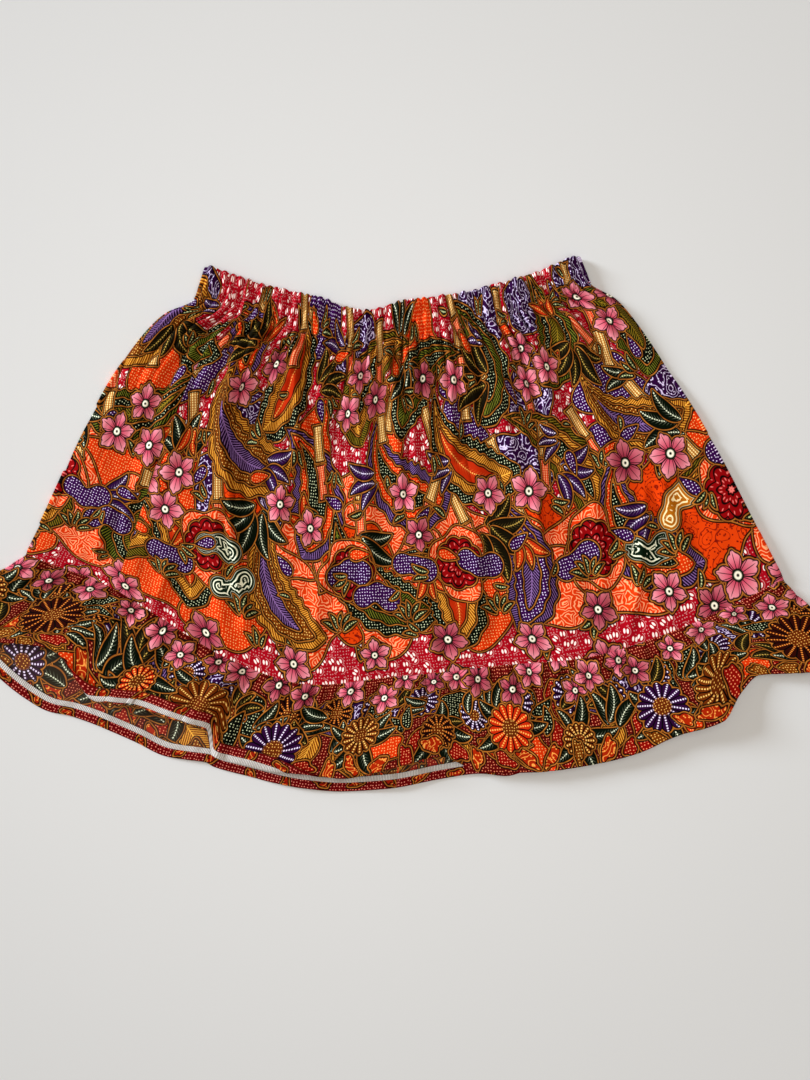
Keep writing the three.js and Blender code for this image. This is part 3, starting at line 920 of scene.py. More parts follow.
def ruffle_print(seed, width):
    """The ruffle's border: flowers below its seam, daisies and leaves, patches by the hem."""
    rng = random.Random(seed)
    pick = rng.choice
    patch = partial(spot, rng, round_patch, most_turn=3)
    motifs = []

    for u, v in scatter(rng, width, 26, 36, 26, 6):
        style = pick(("red cloud", "rust cloud", "gold barbs", "hem orange", "orange dots"))
        a, b = rng.uniform(17, 25), rng.uniform(9, 13)
        motifs.append(patch(u, v + 66, a=a, b=b, style=style))
    for u, v in scatter(rng, width, 40, 36, 40, 6):
        style = pick(("purple curls", "purple curls", "purple barbs", "green dots", "red cloud"))
        motifs.append(patch(u, v + 14, a=21, b=16, style=style))
    for u, v in scatter(rng, width, 26, 50, 26, 8):
        style = pick(("purple daisy", "purple daisy", "brown daisy"))
        half = rng.uniform(16, 23)
        motifs.append(spot(rng, daisy, u, v + 22, 1, half, half, style))
    for u, v in scatter(rng, width, 54, 34, 27, 7):
        style = pick(("green leaf", "olive leaf", "green leaf", "green dots"))
        turn = math.radians(rng.uniform(190, 350))
        count, length = pick((1, 2, 3)), rng.uniform(26, 38)
        motifs += leaf_spray(rng, u, v + 30, turn, count, length, style)
    for u, v in scatter(rng, width, 20, 40, 20, 7):
        motifs += flower_cluster(rng, u, v, pick((1, 1, 2)), rng.uniform(17, 20))
    for k, (u, v) in enumerate(scatter(rng, width, 20, 74, 20, 13)):
        style = ("orange daisy", "gold daisy", "purple daisy", "gold daisy", "brown daisy")[k % 5]
        turn = math.radians(rng.uniform(0, 180))
        motifs += leaf_spray(rng, u, v + 50, turn, 4, 36, "green leaf", 70)
        v, half = v + 46 + rng.uniform(-9, 9), rng.uniform(16, 30)
        motifs.append(spot(rng, daisy, u, v, 1, half, half, style))
    for u, v in scatter(rng, width, 14, 24, 14, 5):
        style = pick(("red cloud", "rust cloud", "red cloud", "gold dots"))
        a, b = rng.uniform(9, 15), rng.uniform(5, 8)
        motifs.append(patch(u, v + 79, a=a, b=b, style=style))
    return motifs


# ---- Materials ----
def add_node(tree, kind, *values, output=0, sockets=(), **settings):
    """Adds a node with its settings and gives one of its outputs, or with output None the node.

    values fill its inputs in order, and sockets fills others by name or number. A value is a
    constant, another node's output, or None, which leaves the input alone."""
    node = tree.nodes.new("ShaderNode" + kind)
    for name, value in settings.items():
        setattr(node, name, value)
    for place, value in (*enumerate(values), *dict(sockets).items()):
        if isinstance(value, bpy.types.NodeSocket):
            tree.links.new(value, node.inputs[place])
        elif value is not None:
            node.inputs[place].default_value = value
    return node if output is None else node.outputs[output]


def new_finish(name, **constants):
    """A new material, its tree and its shader, whose own sockets get the constants."""
    material = bpy.data.materials.new(name)
    material.use_nodes = True
    shader = material.node_tree.nodes["Principled BSDF"]
    for socket, value in constants.items():
        shader.inputs[socket.replace("_", " ")].default_value = value
    return material, material.node_tree, shader


def shade(colour):
    return (*linear(colour), 1.0)


def layered(tree, colour, *layers):
    """Lays colours over each other in turn. Each layer is an amount and a colour."""
    for amount, over in layers:
        sockets = {0: amount, 6: colour, 7: over}
        colour = add_node(tree, "Mix", data_type="RGBA", sockets=sockets, output=2)
    return colour


def band(tree, value, middle, half, soft):
    """1 where a value lies within half of middle, and 0 further off, with a soft change."""
    off = add_node(tree, "Math", value, middle, operation="SUBTRACT")
    off = add_node(tree, "Math", off, operation="ABSOLUTE")
    return add_node(tree, "MapRange", off, half + soft, half - soft)


def stripes(tree, value, period, share):
    """1 on the middle share of every period of a value."""
    part = add_node(tree, "Math", value, period, operation="DIVIDE")
    part = add_node(tree, "Math", part, operation="FRACT")
    return band(tree, part, 0.5, share / 2, 0.06)


def patterns(tree, cloth, place, edge):
    """How much of its mark colour, and how much dark line, each kind of pattern shows."""
    node = partial(add_node, tree)
    x, y, size = node("SeparateXYZ", place, output=None).outputs
    flat = node("CombineXYZ", x, y)
    radius = node("VectorMath", flat, operation="LENGTH", output="Value")
    angle = node("Math", y, x, operation="ARCTAN2")
    share = node("Math", radius, size, operation="DIVIDE")
    beside = node("Math", y, operation="ABSOLUTE")
    mark, dark = {}, {}

    def fan(count, function):
        """A wave that goes round the middle, scaled by the distance from it."""
        turned = node("Math", angle, count, operation="MULTIPLY")
        wave = node("Math", turned, operation=function)
        wave = node("Math", wave, operation="ABSOLUTE")
        return node("Math", wave, radius, operation="MULTIPLY")

    def grid(vector, size, randomness):
        """Scattered cells about as far apart as size, in millimetres."""
        return {"Vector": vector, "Scale": 1 / size, "Randomness": randomness}

    # Hand-drawn lines waver by a millimetre or two.
    waver = {"Vector": cloth, "Scale": 1 / 7, "Detail": 1.0}
    waver = node("TexNoise", output="Color", sockets=waver)
    waver = node("VectorMath", waver, (0.5, 0.5, 0.5), operation="SUBTRACT")
    waver = node("VectorMath", waver, (7.0, 7.0, 0.0), operation="MULTIPLY")
    drawn = node("VectorMath", cloth, waver, operation="ADD")

    # Dots 1.1 mm across and about 2.7 mm apart, coarser than real so that they show.
    dots = node("TexVoronoi", voronoi_dimensions="2D", sockets=grid(cloth, 2.7, 0.4))
    mark[DOTS] = band(tree, dots, 0, 0.19, 0.05)
    # Lines 2.6 mm apart that run round and round in cells 13 mm wide.
    rim = node(
        "TexVoronoi",
        voronoi_dimensions="2D",
        feature="DISTANCE_TO_EDGE",
        sockets=grid(drawn, 13.0, 0.85),
    )
    mark[MAZE] = stripes(tree, rim, 0.2, 0.3)
    # Pairs of white buds 4.5 mm long, set at all angles, each with a thin curl and dots beside it.
    bud = node("TexVoronoi", voronoi_dimensions="2D", output=None, sockets=grid(cloth, 10.0, 0.65))
    off = node("VectorMath", cloth, bud.outputs["Position"], operation="SUBTRACT")
    tilt = node("MapRange", bud.outputs["Color"], 0.0, 1.0, -1.1, 1.1)
    off = node("VectorRotate", off, rotation_type="Z_AXIS", sockets={"Angle": tilt})
    along, up, _ = node("SeparateXYZ", off, output=None).outputs
    apart = node("Math", along, operation="ABSOLUTE")
    wide = node("Math", apart, 1.4, operation="SUBTRACT")
    wide = node("Math", wide, 0.95, operation="DIVIDE")
    wide = node("Math", wide, 2.0, operation="POWER")
    tall = node("Math", up, 2.0, operation="DIVIDE")
    tall = node("Math", tall, 2.0, operation="POWER")
    pair = node("Math", wide, tall, operation="ADD")
    pair = band(tree, pair, 0, 1.0, 0.3)
    curl = band(tree, bud.outputs["Distance"], 0.4, 0.025, 0.02)
    one_side = node("Math", along, 0.4, operation="GREATER_THAN")
    curl = node("Math", curl, one_side, operation="MULTIPLY")
    sparse = node("Math", bud.outputs["Distance"], 0.47, operation="GREATER_THAN")
    specks = node("Math", mark[DOTS], sparse, operation="MULTIPLY")
    faint = node("Math", curl, specks, operation="MAXIMUM")
    faint = node("Math", faint, 0.42, operation="MULTIPLY")
    mark[BUDS] = node("Math", pair, faint, operation="MAXIMUM")
    # Contour lines of a slow unevenness 14 mm wide, with dots between.
    slow = {"Vector": cloth, "Scale": 1 / 14, "Detail": 0.5}
    slow = node("TexNoise", noise_dimensions="2D", sockets=slow)
    beads = node("TexVoronoi", voronoi_dimensions="2D", sockets=grid(cloth, 4.4, 1.0))
    beads = band(tree, beads, 0, 0.15, 0.05)
    mark[CURLS] = node("Math", stripes(tree, slow, 0.15, 0.15), beads, operation="MAXIMUM")
    # Barbs 3 mm apart that slant back from the quill, with dots between.
    slant = node("Math", beside, -1.1, x, operation="MULTIPLY_ADD")
    quill = band(tree, y, 0, 0.5, 0.2)
    barbs = node("Math", stripes(tree, slant, 3.0, 0.32), quill, operation="MAXIMUM")
    specks = node("Math", mark[DOTS], 0.35, operation="MULTIPLY")
    mark[BARBS] = node("Math", barbs, specks, operation="MAXIMUM")
    # A dotted midrib with short pale veins on either side.
    dotted = node("Math", quill, stripes(tree, x, 2.4, 0.6), operation="MULTIPLY")
    near = node("MapRange", beside, 0.0, 4.0, 0.4, 0.0)
    veins = node("Math", stripes(tree, slant, 3.4, 0.2), near, operation="MULTIPLY")
    mark[MIDRIB] = node("Math", dotted, veins, operation="MAXIMUM")
    # Five petals, paler towards their tips, with dark lines between them and thin dark veins.
    between = band(tree, fan(2.5, "COSINE"), 0, 1.2, 0.5)
    within = band(tree, share, 0, 0.78, 0.1)
    ribs = band(tree, fan(2.5, "SINE"), 0, 0.45, 0.3)
    side_veins = band(tree, fan(7.5, "SINE"), 0, 2.0, 1.3)
    veins = node("Math", ribs, side_veins, operation="MAXIMUM")
    veins = node("Math", veins, within, operation="MULTIPLY")
    mark[PETALS] = node("MapRange", share, 0.3, 1.0, 0.0, 0.75)
    dark[PETALS] = node("Math", between, veins, operation="MAXIMUM")
    # Fourteen narrow petals, each with a row of dots along it.
    middles = band(tree, fan(7.0, "SINE"), 0, 5.0, 1.5)
    mark[RAYS] = node("Math", middles, stripes(tree, radius, 2.4, 0.55), operation="MULTIPLY")
    dark[RAYS] = band(tree, fan(7.0, "COSINE"), 0, 3.8, 1.3)
    # Fine lines along the cane, broken into dashes.
    mark[CANE] = node(
        "Math", stripes(tree, y, 2.6, 0.5), stripes(tree, x, 2.1, 0.72), operation="MULTIPLY"
    )
    # Lines that follow the outline, 3.2 mm apart.
    away = node("Math", edge, operation="ABSOLUTE")
    away = node("Math", away, 0.3, operation="ADD")
    mark[RINGS] = stripes(tree, away, 3.2, 0.36)
    # Petals within petals: dark arcs with short pale strokes at their tips.
    whorl = node("Math", fan(3.5, "COSINE"), -0.3, radius, operation="MULTIPLY_ADD")
    dark[ROUNDEL] = stripes(tree, whorl, 6.0, 0.22)
    tips = node("Math", whorl, 2.0, operation="ADD")
    strokes = band(tree, fan(10.5, "COSINE"), 0, 4.5, 2.0)
    mark[ROUNDEL] = node("Math", stripes(tree, tips, 6.0, 0.3), strokes, operation="MULTIPLY")
    return mark, dark, share


def printed_cotton(name, fade, settings):
    """Plain-woven cotton, wax printed: matt and dense, each colour inside a thin gold line with
    a dark one beside it. fade is how much paler the wrong side of the cloth is."""
    material, tree, shader = new_finish(name, Specular_IOR_Level=0.05)
    node = partial(add_node, tree)
    edge = node("Attribute", attribute_name="edge", output="Fac")
    cloth = node("Attribute", attribute_name="cloth", output="Vector")
    inside = node("Math", edge, 0.0, operation="LESS_THAN")

    def either(word):
        """What lies on this side of the nearest outline."""
        sides = {0: inside}
        for socket, side in ((4, "_out"), (5, "_in")):
            sides[socket] = node("Attribute", attribute_name=word + side, output="Vector")
        return node("Mix", data_type="VECTOR", sockets=sides, output=1)

    number = either("kind")
    mark, dark, share = patterns(tree, cloth, either("place"), edge)

    def chosen(shown):
        amount = 0.0
        for kind, pattern in shown.items():
            here = node("Math", number, float(kind), 0.4, operation="COMPARE")
            amount = node("Math", here, pattern, amount, operation="MULTIPLY_ADD")
        return amount

    # The flowers' white eye in a dark green ring, and the daisies' gold disc.
    hearts = []
    for kind, reach, soft, colour in (
        (PETALS, 0.24, 0.025, shade("#1A2814")),
        (PETALS, 0.15, 0.025, shade("#F6F0DC")),
        (PETALS, 0.055, 0.025, shade("#1A1A10")),
        (RAYS, 0.34, 0.03, layered(tree, shade("#7C3E0E"), (mark[DOTS], shade("#EEC070")))),
    ):
        here = node("Math", number, float(kind), 0.4, operation="COMPARE")
        here = node("Math", band(tree, share, 0, reach, soft), here, operation="MULTIPLY")
        hearts.append((here, colour))
    # The wax line: gold 1 mm wide, with a dark line 1.1 mm wide on each side.
    ink = shade("#0E0502")
    beside = band(tree, edge, 0, settings.gold_line / 2 + 1.1, 0.3)
    beside = node("Math", beside, 0.95, operation="MULTIPLY")
    wax = {"Vector": cloth, "Scale": 1 / 9, "Detail": 2.0}
    wax = node("TexNoise", noise_dimensions="2D", sockets=wax)
    gold = layered(tree, shade("#7C4618"), (wax, shade("#DC9C4C")))
    colour = layered(
        tree,
        either("ground"),
        (chosen(mark), either("mark")),
        (chosen(dark), ink),
        *hearts,
        (beside, ink),
        (band(tree, edge, 0, settings.gold_line / 2, 0.25), gold),
    )
    colour = node("Gamma", colour, settings.ink_depth)
    # Uneven dye over areas 40 mm wide, and the paler wrong side.
    uneven = {"Vector": cloth, "Scale": 1 / 40, "Detail": 3.0}
    uneven = node("TexNoise", noise_dimensions="2D", sockets=uneven)
    value = node("MapRange", uneven, 0.0, 1.0, 1.07, 1.45)
    colour = node("HueSaturation", sockets={"Value": value, "Color": colour})
    if fade:
        colour = layered(tree, colour, (fade, shade("#D9B79C")))
    tree.links.new(colour, shader.inputs["Base Color"])
    # Threads are drawn 1.1 mm apart, coarser than the real 0.3 mm, so that they show.
    weave = 1.0
    for way in ("X", "Y"):
        threads = {"Vector": cloth, "Scale": 2 * math.pi / 20 / 1.1, "Distortion": 0.4}
        threads = node("TexWave", bands_direction=way, output="Fac", sockets=threads)
        weave = node("Math", threads, weave, operation="MULTIPLY")
    bump = node("Bump", sockets={"Strength": 0.25, "Distance": 0.0002, "Height": weave})
    tree.links.new(bump, shader.inputs["Normal"])
    tree.links.new(node("MapRange", weave, 0.0, 1.0, 0.86, 0.72), shader.inputs["Roughness"])
    return material


def overlock_thread():
    """Spun polyester thread, white: matt, with each loop standing up across the band. Painted
    shade greys it between the loops and in patches.
    """
    material, tree, shader = new_finish("Overlock thread", Roughness=0.8, Specular_IOR_Level=0.1)
    node = partial(add_node, tree)
    cloth = node("Attribute", attribute_name="cloth", output="Vector")
    loops = {"Vector": cloth, "Scale": 2 * math.pi / 20 / 1.5, "Distortion": 1.6, "Detail": 2.0}
    loops = node("TexWave", bands_direction="X", output="Fac", sockets=loops)
    # Grey patches of painted shade along the band.
    shaded_patches = {"Vector": cloth, "Scale": 1 / 13, "Detail": 3.0}
    shaded_patches = node("TexNoise", noise_dimensions="2D", sockets=shaded_patches)
    shaded_patches = node("MapRange", shaded_patches, 0.35, 0.75, 0.0, 0.75)
    # Painted shade: the grey under the white loops darkens the gaps between them, and the patches
    # darken the band in places.
    colour = layered(
        tree, shade("#9A928A"), (loops, shade("#FFFCF6")), (shaded_patches, shade("#B8AEA4"))
    )
    tree.links.new(colour, shader.inputs["Base Color"])
    bump = node("Bump", sockets={"Strength": 0.6, "Distance": 0.0004, "Height": loops})
    tree.links.new(bump, shader.inputs["Normal"])
    return material


def sewing_thread():
    """Spun polyester sewing thread, dark red: matt with a faint twist."""
    material, tree, shader = new_finish("Sewing thread", Roughness=0.65)
    place = add_node(tree, "TexCoord", output="Object")
    twist = {"Vector": place, "Scale": 1500.0, "Detail": 1.0}
    twist = add_node(tree, "TexNoise", sockets=twist)
    colour = layered(tree, shade("#5A1518"), (twist, shade("#9A3A34")))
    tree.links.new(colour, shader.inputs["Base Color"])
    return material


def table_top():
    """A matt white laminate, faintly uneven, with painted shade that makes it greyer away from its
    middle.
    """
    material, tree, shader = new_finish(
        "White table top", Roughness=0.55, Specular_IOR_Level=0.25
    )
    stage = bpy.context.scene.skirt_stage
    node = partial(add_node, tree)
    place = node("TexCoord", output="Object")
    uneven = node("TexNoise", sockets={"Vector": place, "Scale": 3.0, "Detail": 2.0})
    # Painted shade: the table top's colour darkens away from its middle.
    away = node("VectorMath", place, PAINTED_SHADE_MIDDLE, operation="DISTANCE", output="Value")
    away = node("MapRange", away, 0.1, 0.7, 0.0, 1.0, interpolation_type="SMOOTHSTEP")
    pale = Vector(stage.table_colour)
    colour = layered(
        tree,
        (*pale, 1.0),
        (uneven, (*(0.98 * pale), 1.0)),
        (away, (*(stage.painted_table_shade * pale), 1.0)),
    )
    tree.links.new(colour, shader.inputs["Base Color"])
    return material


# ---- Pieces ----
def dress(piece, node, materials, thickness=0.0):
    """Gives a piece its materials, a thickness if it has one, and its place in the frame. node
    is the solid that it stands for, if any."""
    for material in materials:
        piece.data.materials.append(material)
    if thickness:
        thicken(piece, thickness, len(materials) - 1)
    if node:
        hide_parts(node)
    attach(piece, "root")
    return piece


def print_materials():
    """The print's right side and wrong side."""
    settings = bpy.context.scene.skirt_print
    sides = {"Printed cotton": 0.0, "Printed cotton wrong side": settings.wrong_side_fade}
    return [
        bpy.data.materials.get(name) or printed_cotton(name, fade, settings)
        for name, fade in sides.items()
    ]


def cloth_positions(places, rows_v, width, shift):
    """Where each point lies on the cut cloth: along the width, on round the side folds."""
    on_back = places.angle / math.pi
    u = np.where(
        places.across > 0.5,
        lerp(places.across, 2 - places.across, on_back),
        lerp(places.across, -places.across, on_back),
    )
    flat = np.empty((len(u), len(rows_v), 2))
    flat[..., 0] = (u * width + shift)[:, None]
    flat[..., 1] = rows_v[None, :]
    return flat


def panel_places(front_piece, fine, coarse):
    gap = SEAM / 2 / BODY_SPAN
    if front_piece:
        return chain(
            front_places(LEFT_SEAM_ON_FRONT + gap, 1, round(fine * (1 - LEFT_SEAM_ON_FRONT))),
            side_turn(1, True),
            back_places(1, RIGHT_SEAM_ON_BACK + gap, round(coarse * (1 - RIGHT_SEAM_ON_BACK))),
        )
    return chain(
        back_places(RIGHT_SEAM_ON_BACK - gap, 0, round(coarse * RIGHT_SEAM_ON_BACK)),
        side_turn(0, False),
        front_places(0, LEFT_SEAM_ON_FRONT - gap, round(fine * LEFT_SEAM_ON_FRONT)),
    )


def make_printed(name, node, front_piece, seed, places, rows_v, points):
    """A piece of the front or the back out of its points, with its part of the print."""
    shift = 0 if front_piece else PRINT_BACK_SHIFT
    piece = piece_from_grid(name, points, cloth_positions(places, rows_v, PANEL_WIDTH, shift))
    motifs = panel_print(seed, 1.5 * PANEL_WIDTH, PANEL_LENGTH + CASING_HEIGHT)
    paint(piece, moved(motifs, 0 if front_piece else shift - PANEL_WIDTH), "crimson buds")
    return dress(piece, node, print_materials()[:1])


def make_panel(name, node, front_piece, seed):
    cloth = bpy.context.scene.skirt_cloth
    fine = round(PANEL_WIDTH / cloth.spacing)
    places = panel_places(front_piece, fine, fine // 2)
    count = round(PANEL_LENGTH / cloth.spacing / (1 if front_piece else 1.25))
    down = CASING_HEIGHT + CLEARANCE + np.linspace(0, 1, count) * (PANEL_LENGTH - CLEARANCE)
    points = tube_grid(body_point, places, down)
    points = points + grid_normals(points) * cloth.stand_off
    return make_printed(name, node, front_piece, seed, places, down, points)


def make_casing(name, node, front_piece, seed):
    """The waist casing: outer face, rounded top fold and inner face round the elastic."""
    cloth = bpy.context.scene.skirt_cloth
    places = panel_places(front_piece, CASING_COLUMNS, CASING_BACK_COLUMNS)
    outer = np.linspace(CASING_HEIGHT, CASING_FOLD, 20)
    fold = np.linspace(0, math.pi, 9)[1:-1]
    inner = np.linspace(CASING_FOLD, CASING_HEIGHT, 8)
    down = np.concatenate([outer, CASING_FOLD - 1.2 * np.sin(fold), inner])
    half = CASING_WALL / 2
    off = half * np.concatenate([np.ones_like(outer), np.cos(fold), -np.ones_like(inner)])
    points = tube_grid(body_point, places, down)
    # Normals need rows in order from the waist edge down, so they are put back afterwards.
    order = np.argsort(np.argsort(down, kind="stable"), kind="stable")
    outward = grid_normals(tube_grid(body_point, places, np.sort(down)))[:, order]

    across, row = places.across[:, None], down[None, :]
    on_front = (places.angle < 0.1)[:, None]
    on_back = (places.angle > 3.1)[:, None]
    # The ruching is held by the stitches at the bottom and leans and varies above them.
    held = ramp(CASING_HEIGHT - row, TUCK)
    lean = 0.004 * held * np.sin(row / 5 + 9 * np.sin(31 * across))
    swell = 0.7 * puckers(GATHERS, across + lean) + 0.5 * puckers(31, across - 0.5 * lean) - 0.4
    wander = undulation(400 * across, row + 0 * across, 11, 2.2)
    broad = undulation(400 * across, 0 * across, 34, 0.4)
    ruched = swell * (1 + held * (0.3 * wander + 0.25 * broad)) + 0.12 * held * wander
    # The back's ruching is pressed flat by the table.
    pressed = 1.5 * (1 - puckers(GATHERS, across + lean)) * on_back
    ruched = np.where(on_front, cloth.casing_depth * ruched, -pressed) * ramp(off, half)
    ease = 1.4 * ramp(down - 18, 10) * (off > 0)
    points = points + outward * (off - ease + ruched)[..., None]
    # Each pucker also scallops the waist edge.
    crest = 1.6 * puckers(GATHERS, across) + 1.2 * puckers(31, across) + 0.7 * broad
    points[..., 1] += (crest - 0.9) * ramp(TUCK - down, TUCK) * on_front
    points[..., 2] = np.maximum(points[..., 2], CLEARANCE)
    rows_v = np.concatenate([outer, np.linspace(1, -1, len(fold)), -inner])
    return make_printed(name, node, front_piece, seed, places, rows_v, points)


def ruffle_places(front_piece, fine, coarse):
    gap = SEAM / 2 / RUFFLE_SPAN
    if front_piece:
        return chain(
            back_places(RUFFLE_SEAM_ON_BACK - gap, 0, round(coarse * RUFFLE_SEAM_ON_BACK)),
            side_turn(0, False),
            front_places(0, RUFFLE_SEAM_ON_FRONT - gap, round(fine * RUFFLE_SEAM_ON_FRONT)),
        )
    return chain(
        front_places(RUFFLE_SEAM_ON_FRONT + gap, 1, round(fine * (1 - RUFFLE_SEAM_ON_FRONT))),
        side_turn(1, True),
        back_places(1, RUFFLE_SEAM_ON_BACK + gap, round(coarse * (1 - RUFFLE_SEAM_ON_BACK))),
    )


def ruffle_rows(spacing):
    """fall and run of every row, from the seam to the edge."""
    fall_rows = round(RUFFLE_ROWS / spacing)
    run_rows = round(FREE_EDGE / min(1.2, spacing))
    fall = np.concatenate([np.linspace(0, 1, fall_rows), np.ones(run_rows)])
    run = np.concatenate([np.zeros(fall_rows), np.linspace(0, FREE_EDGE, run_rows + 1)[1:]])
    return fall, run


def make_ruffle(name, node, front_piece, seed):
    cloth = bpy.context.scene.skirt_cloth
    fine = round(RUFFLE_WIDTH / cloth.ruffle_spacing)
    places = ruffle_places(front_piece, fine, round(fine * 0.8))
    fall, run = ruffle_rows(cloth.ruffle_spacing)
    points = tube_grid(ruffle_point, places, fall, run)
    points = points + grid_normals(points) * cloth.stand_off
    rows_v = RUFFLE_FALL * fall + run
    piece = piece_from_grid(name, points, cloth_positions(places, rows_v, RUFFLE_WIDTH, 0))
    dress(piece, node, print_materials(), cloth.thickness)
    motifs = ruffle_print(seed, PRINT_REACH * RUFFLE_WIDTH)
    paint(piece, moved(motifs, -PRINT_START * RUFFLE_WIDTH), "crimson dots")
    return piece


def hem_strip(name, front_piece, top, bottom, columns, rows, inset, swell):
    """A strip on the ruffle's inner side, between two runs of its free edge. inset: its distance
    from the middle of the ruffle's wall, and swell: how much further off its middle is."""
    places = ruffle_places(front_piece, columns, round(columns * 0.8))
    steps = 60
    all_runs = np.linspace(0, FREE_EDGE, steps + 1)
    grid = tube_grid(ruffle_point, places, np.ones_like(all_runs), all_runs)
    normals = grid_normals(grid)
    run = np.linspace(top, bottom, rows)
    low = np.minimum(np.floor(run / FREE_EDGE * steps).astype(int), steps - 1)
    t = (run / FREE_EDGE * steps - low)[None, :, None]
    points = lerp(grid[:, low], grid[:, low + 1], t)
    outward = lerp(normals[:, low], normals[:, low + 1], t)
    round_edges = np.sin(np.linspace(0, math.pi, rows)) ** 0.5 * swell
    points = points - outward * (inset + round_edges)[None, :, None]
    flat = cloth_positions(places, RUFFLE_FALL + run, RUFFLE_WIDTH, 0)
    piece = piece_from_grid(name, points, flat)
    piece.data.flip_normals()
    return piece


def make_hem(name, node, front_piece, seed):
    """The turned-up hem: the cloth's face again, on the ruffle's inner side."""
    piece = hem_strip(
        name, front_piece, HEM_TOP, FREE_EDGE, columns=560, rows=10, inset=1.0, swell=0.25
    )
    dress(piece, node, print_materials()[:1], thickness=0.4)
    rng = random.Random(seed)
    motifs = [
        spot(rng, round_patch, u, v + 84, 3, 8, 4, "hem orange")
        for u, v in scatter(rng, PRINT_REACH * RUFFLE_WIDTH, 10, 34, 10, 3)
    ]
    paint(piece, moved(motifs, -PRINT_START * RUFFLE_WIDTH), "hem red")
    return piece


def make_overlock(name, front_piece):
    """The white overlock that binds the hem's raw edge: a ribbed band of thread."""
    low, high = HEM_TOP - 0.8, HEM_TOP + 4.0
    piece = hem_strip(name, front_piece, low, high, columns=1500, rows=7, inset=1.5, swell=0.3)
    thread = bpy.data.materials.get("Overlock thread") or overlock_thread()
    return dress(piece, None, [thread])


def make_stitches(name, point, count, start, end):
    """A row of stitches on the front, each a short round thread lying along the row."""
    bm = bmesh.new()
    half = 0.2 * MM
    for k in range(count):
        across = np.array([lerp(start, end, (k + share) / count) for share in (0.2, 0.8)])
        ends = point(across) * MM
        middle, along = Vector(ends.mean(axis=0)), Vector(ends[1] - ends[0])
        turn = along.to_track_quat("Z", "Y").to_matrix().to_4x4()
        bmesh.ops.create_cone(
            bm,
            cap_ends=True,
            segments=6,
            radius1=half,
            radius2=half,
            depth=along.length,
            matrix=Matrix.Translation(middle) @ turn,
        )
    mesh = bpy.data.meshes.new(name)
    bm.to_mesh(mesh)
    bm.free()
    mesh.shade_smooth()
    piece = add_object(name, mesh)
    thread = bpy.data.materials.get("Sewing thread") or sewing_thread()
    return dress(piece, None, [thread])


# ---- Settings ----
class SkirtClothSettings(bpy.types.PropertyGroup):
    """How finely and how deeply the cloth is shaped."""

    spacing: FloatProperty(
        name="Panel spacing",
        description="Distance between points of the front panel's mesh, in millimetres",
        default=1.42,
        min=1.0,
        max=8.0,
    )
    ruffle_spacing: FloatProperty(
        name="Ruffle spacing",
        description="Distance between points of the ruffle's mesh, in millimetres",
        default=1.6,
        min=1.0,
        max=8.0,
    )
    gather_depth: FloatProperty(
        name="Gather depth",
        description="Extra depth of the gathers below the waist, in millimetres",
        default=6.4,
        min=0.0,
        max=8.0,
    )
    casing_depth: FloatProperty(
        name="Casing depth",
        description="Depth of the ruching on the waist casing, in millimetres",
        default=7.0,
        min=0.0,
        max=9.0,
    )
    crease_depth: FloatProperty(
        name="Crease depth",
        description="Scale of the panel's creases and crumples",
        default=1.5,
        min=0.0,
        max=3.0,
    )
    thickness: FloatProperty(
        name="Cloth thickness",
        description="Thickness of the ruffle's cloth, in millimetres",
        default=0.5,
        min=0.2,
        max=1.2,
    )
    stand_off: FloatProperty(
        name="Outer face",
        description="Distance of the cloth's face from the middle of its wall, in millimetres",
        default=0.55,
        min=0.0,
        max=0.6,
    )


class SkirtPrintSettings(bpy.types.PropertyGroup):
    """The print's seeds and lines."""

    front_seed: IntProperty(name="Front", description="Layout of the front's print", default=11)
    back_seed: IntProperty(name="Back", description="Layout of the back's print", default=29)
    ruffle_seed: IntProperty(name="Ruffle", description="Layout of the ruffle's print", default=7)
    gold_line: FloatProperty(
        name="Gold line",
        description="Width of the gold line round each motif, in millimetres",
        default=1.0,
        min=0.3,
        max=3.0,
    )
    ink_depth: FloatProperty(
        name="Ink depth",
        description="How deep the print's darker colours are, from 1, as mixed, upwards",
        default=1.35,
        min=1.0,
        max=2.0,
    )
    wrong_side_fade: FloatProperty(
        name="Wrong side fade",
        description="How much paler the wrong side of the cloth is",
        default=0.04,
        min=0.0,
        max=0.6,
    )


class SkirtStageSettings(bpy.types.PropertyGroup):
    """Camera, light and table."""

    camera_height: FloatProperty(
        name="Camera height",
        description="Height of the camera above the table",
        default=1.0,
        min=0.3,
        max=5.0,
        unit="LENGTH",
    )
    view_length: FloatProperty(
        name="View length",
        description="Length of table that the long side of the view takes in",
        default=0.9504,
        min=0.3,
        max=3.0,
        unit="LENGTH",
    )
    key_power: FloatProperty(
        name="Window light",
        description="Power of the large soft light at the left, in watts",
        default=1120.0,
        min=0.0,
        max=5000.0,
    )
    glow_power: FloatProperty(
        name="Light from above",
        description="Power of the broad, soft light above the table, in watts",
        default=20.0,
        min=0.0,
        max=100.0,
    )
    sky_strength: FloatProperty(
        name="Room light",
        description="Strength of the even light from all round",
        default=0.32,
        min=0.0,
        max=5.0,
    )
    table_colour: FloatVectorProperty(
        name="Table colour",
        description="Colour of the table top",
        default=linear("#EAEAE6"),
        min=0.0,
        max=1.0,
        size=3,
        subtype="COLOR",
    )
    # Painted shade on the table top, darker away from its middle.
    painted_table_shade: FloatProperty(
        name="Table edge",
        description="How bright the table top is away from its middle, as a share of its colour",
        default=0.87,
        min=0.0,
        max=1.0,
        subtype="FACTOR",
    )


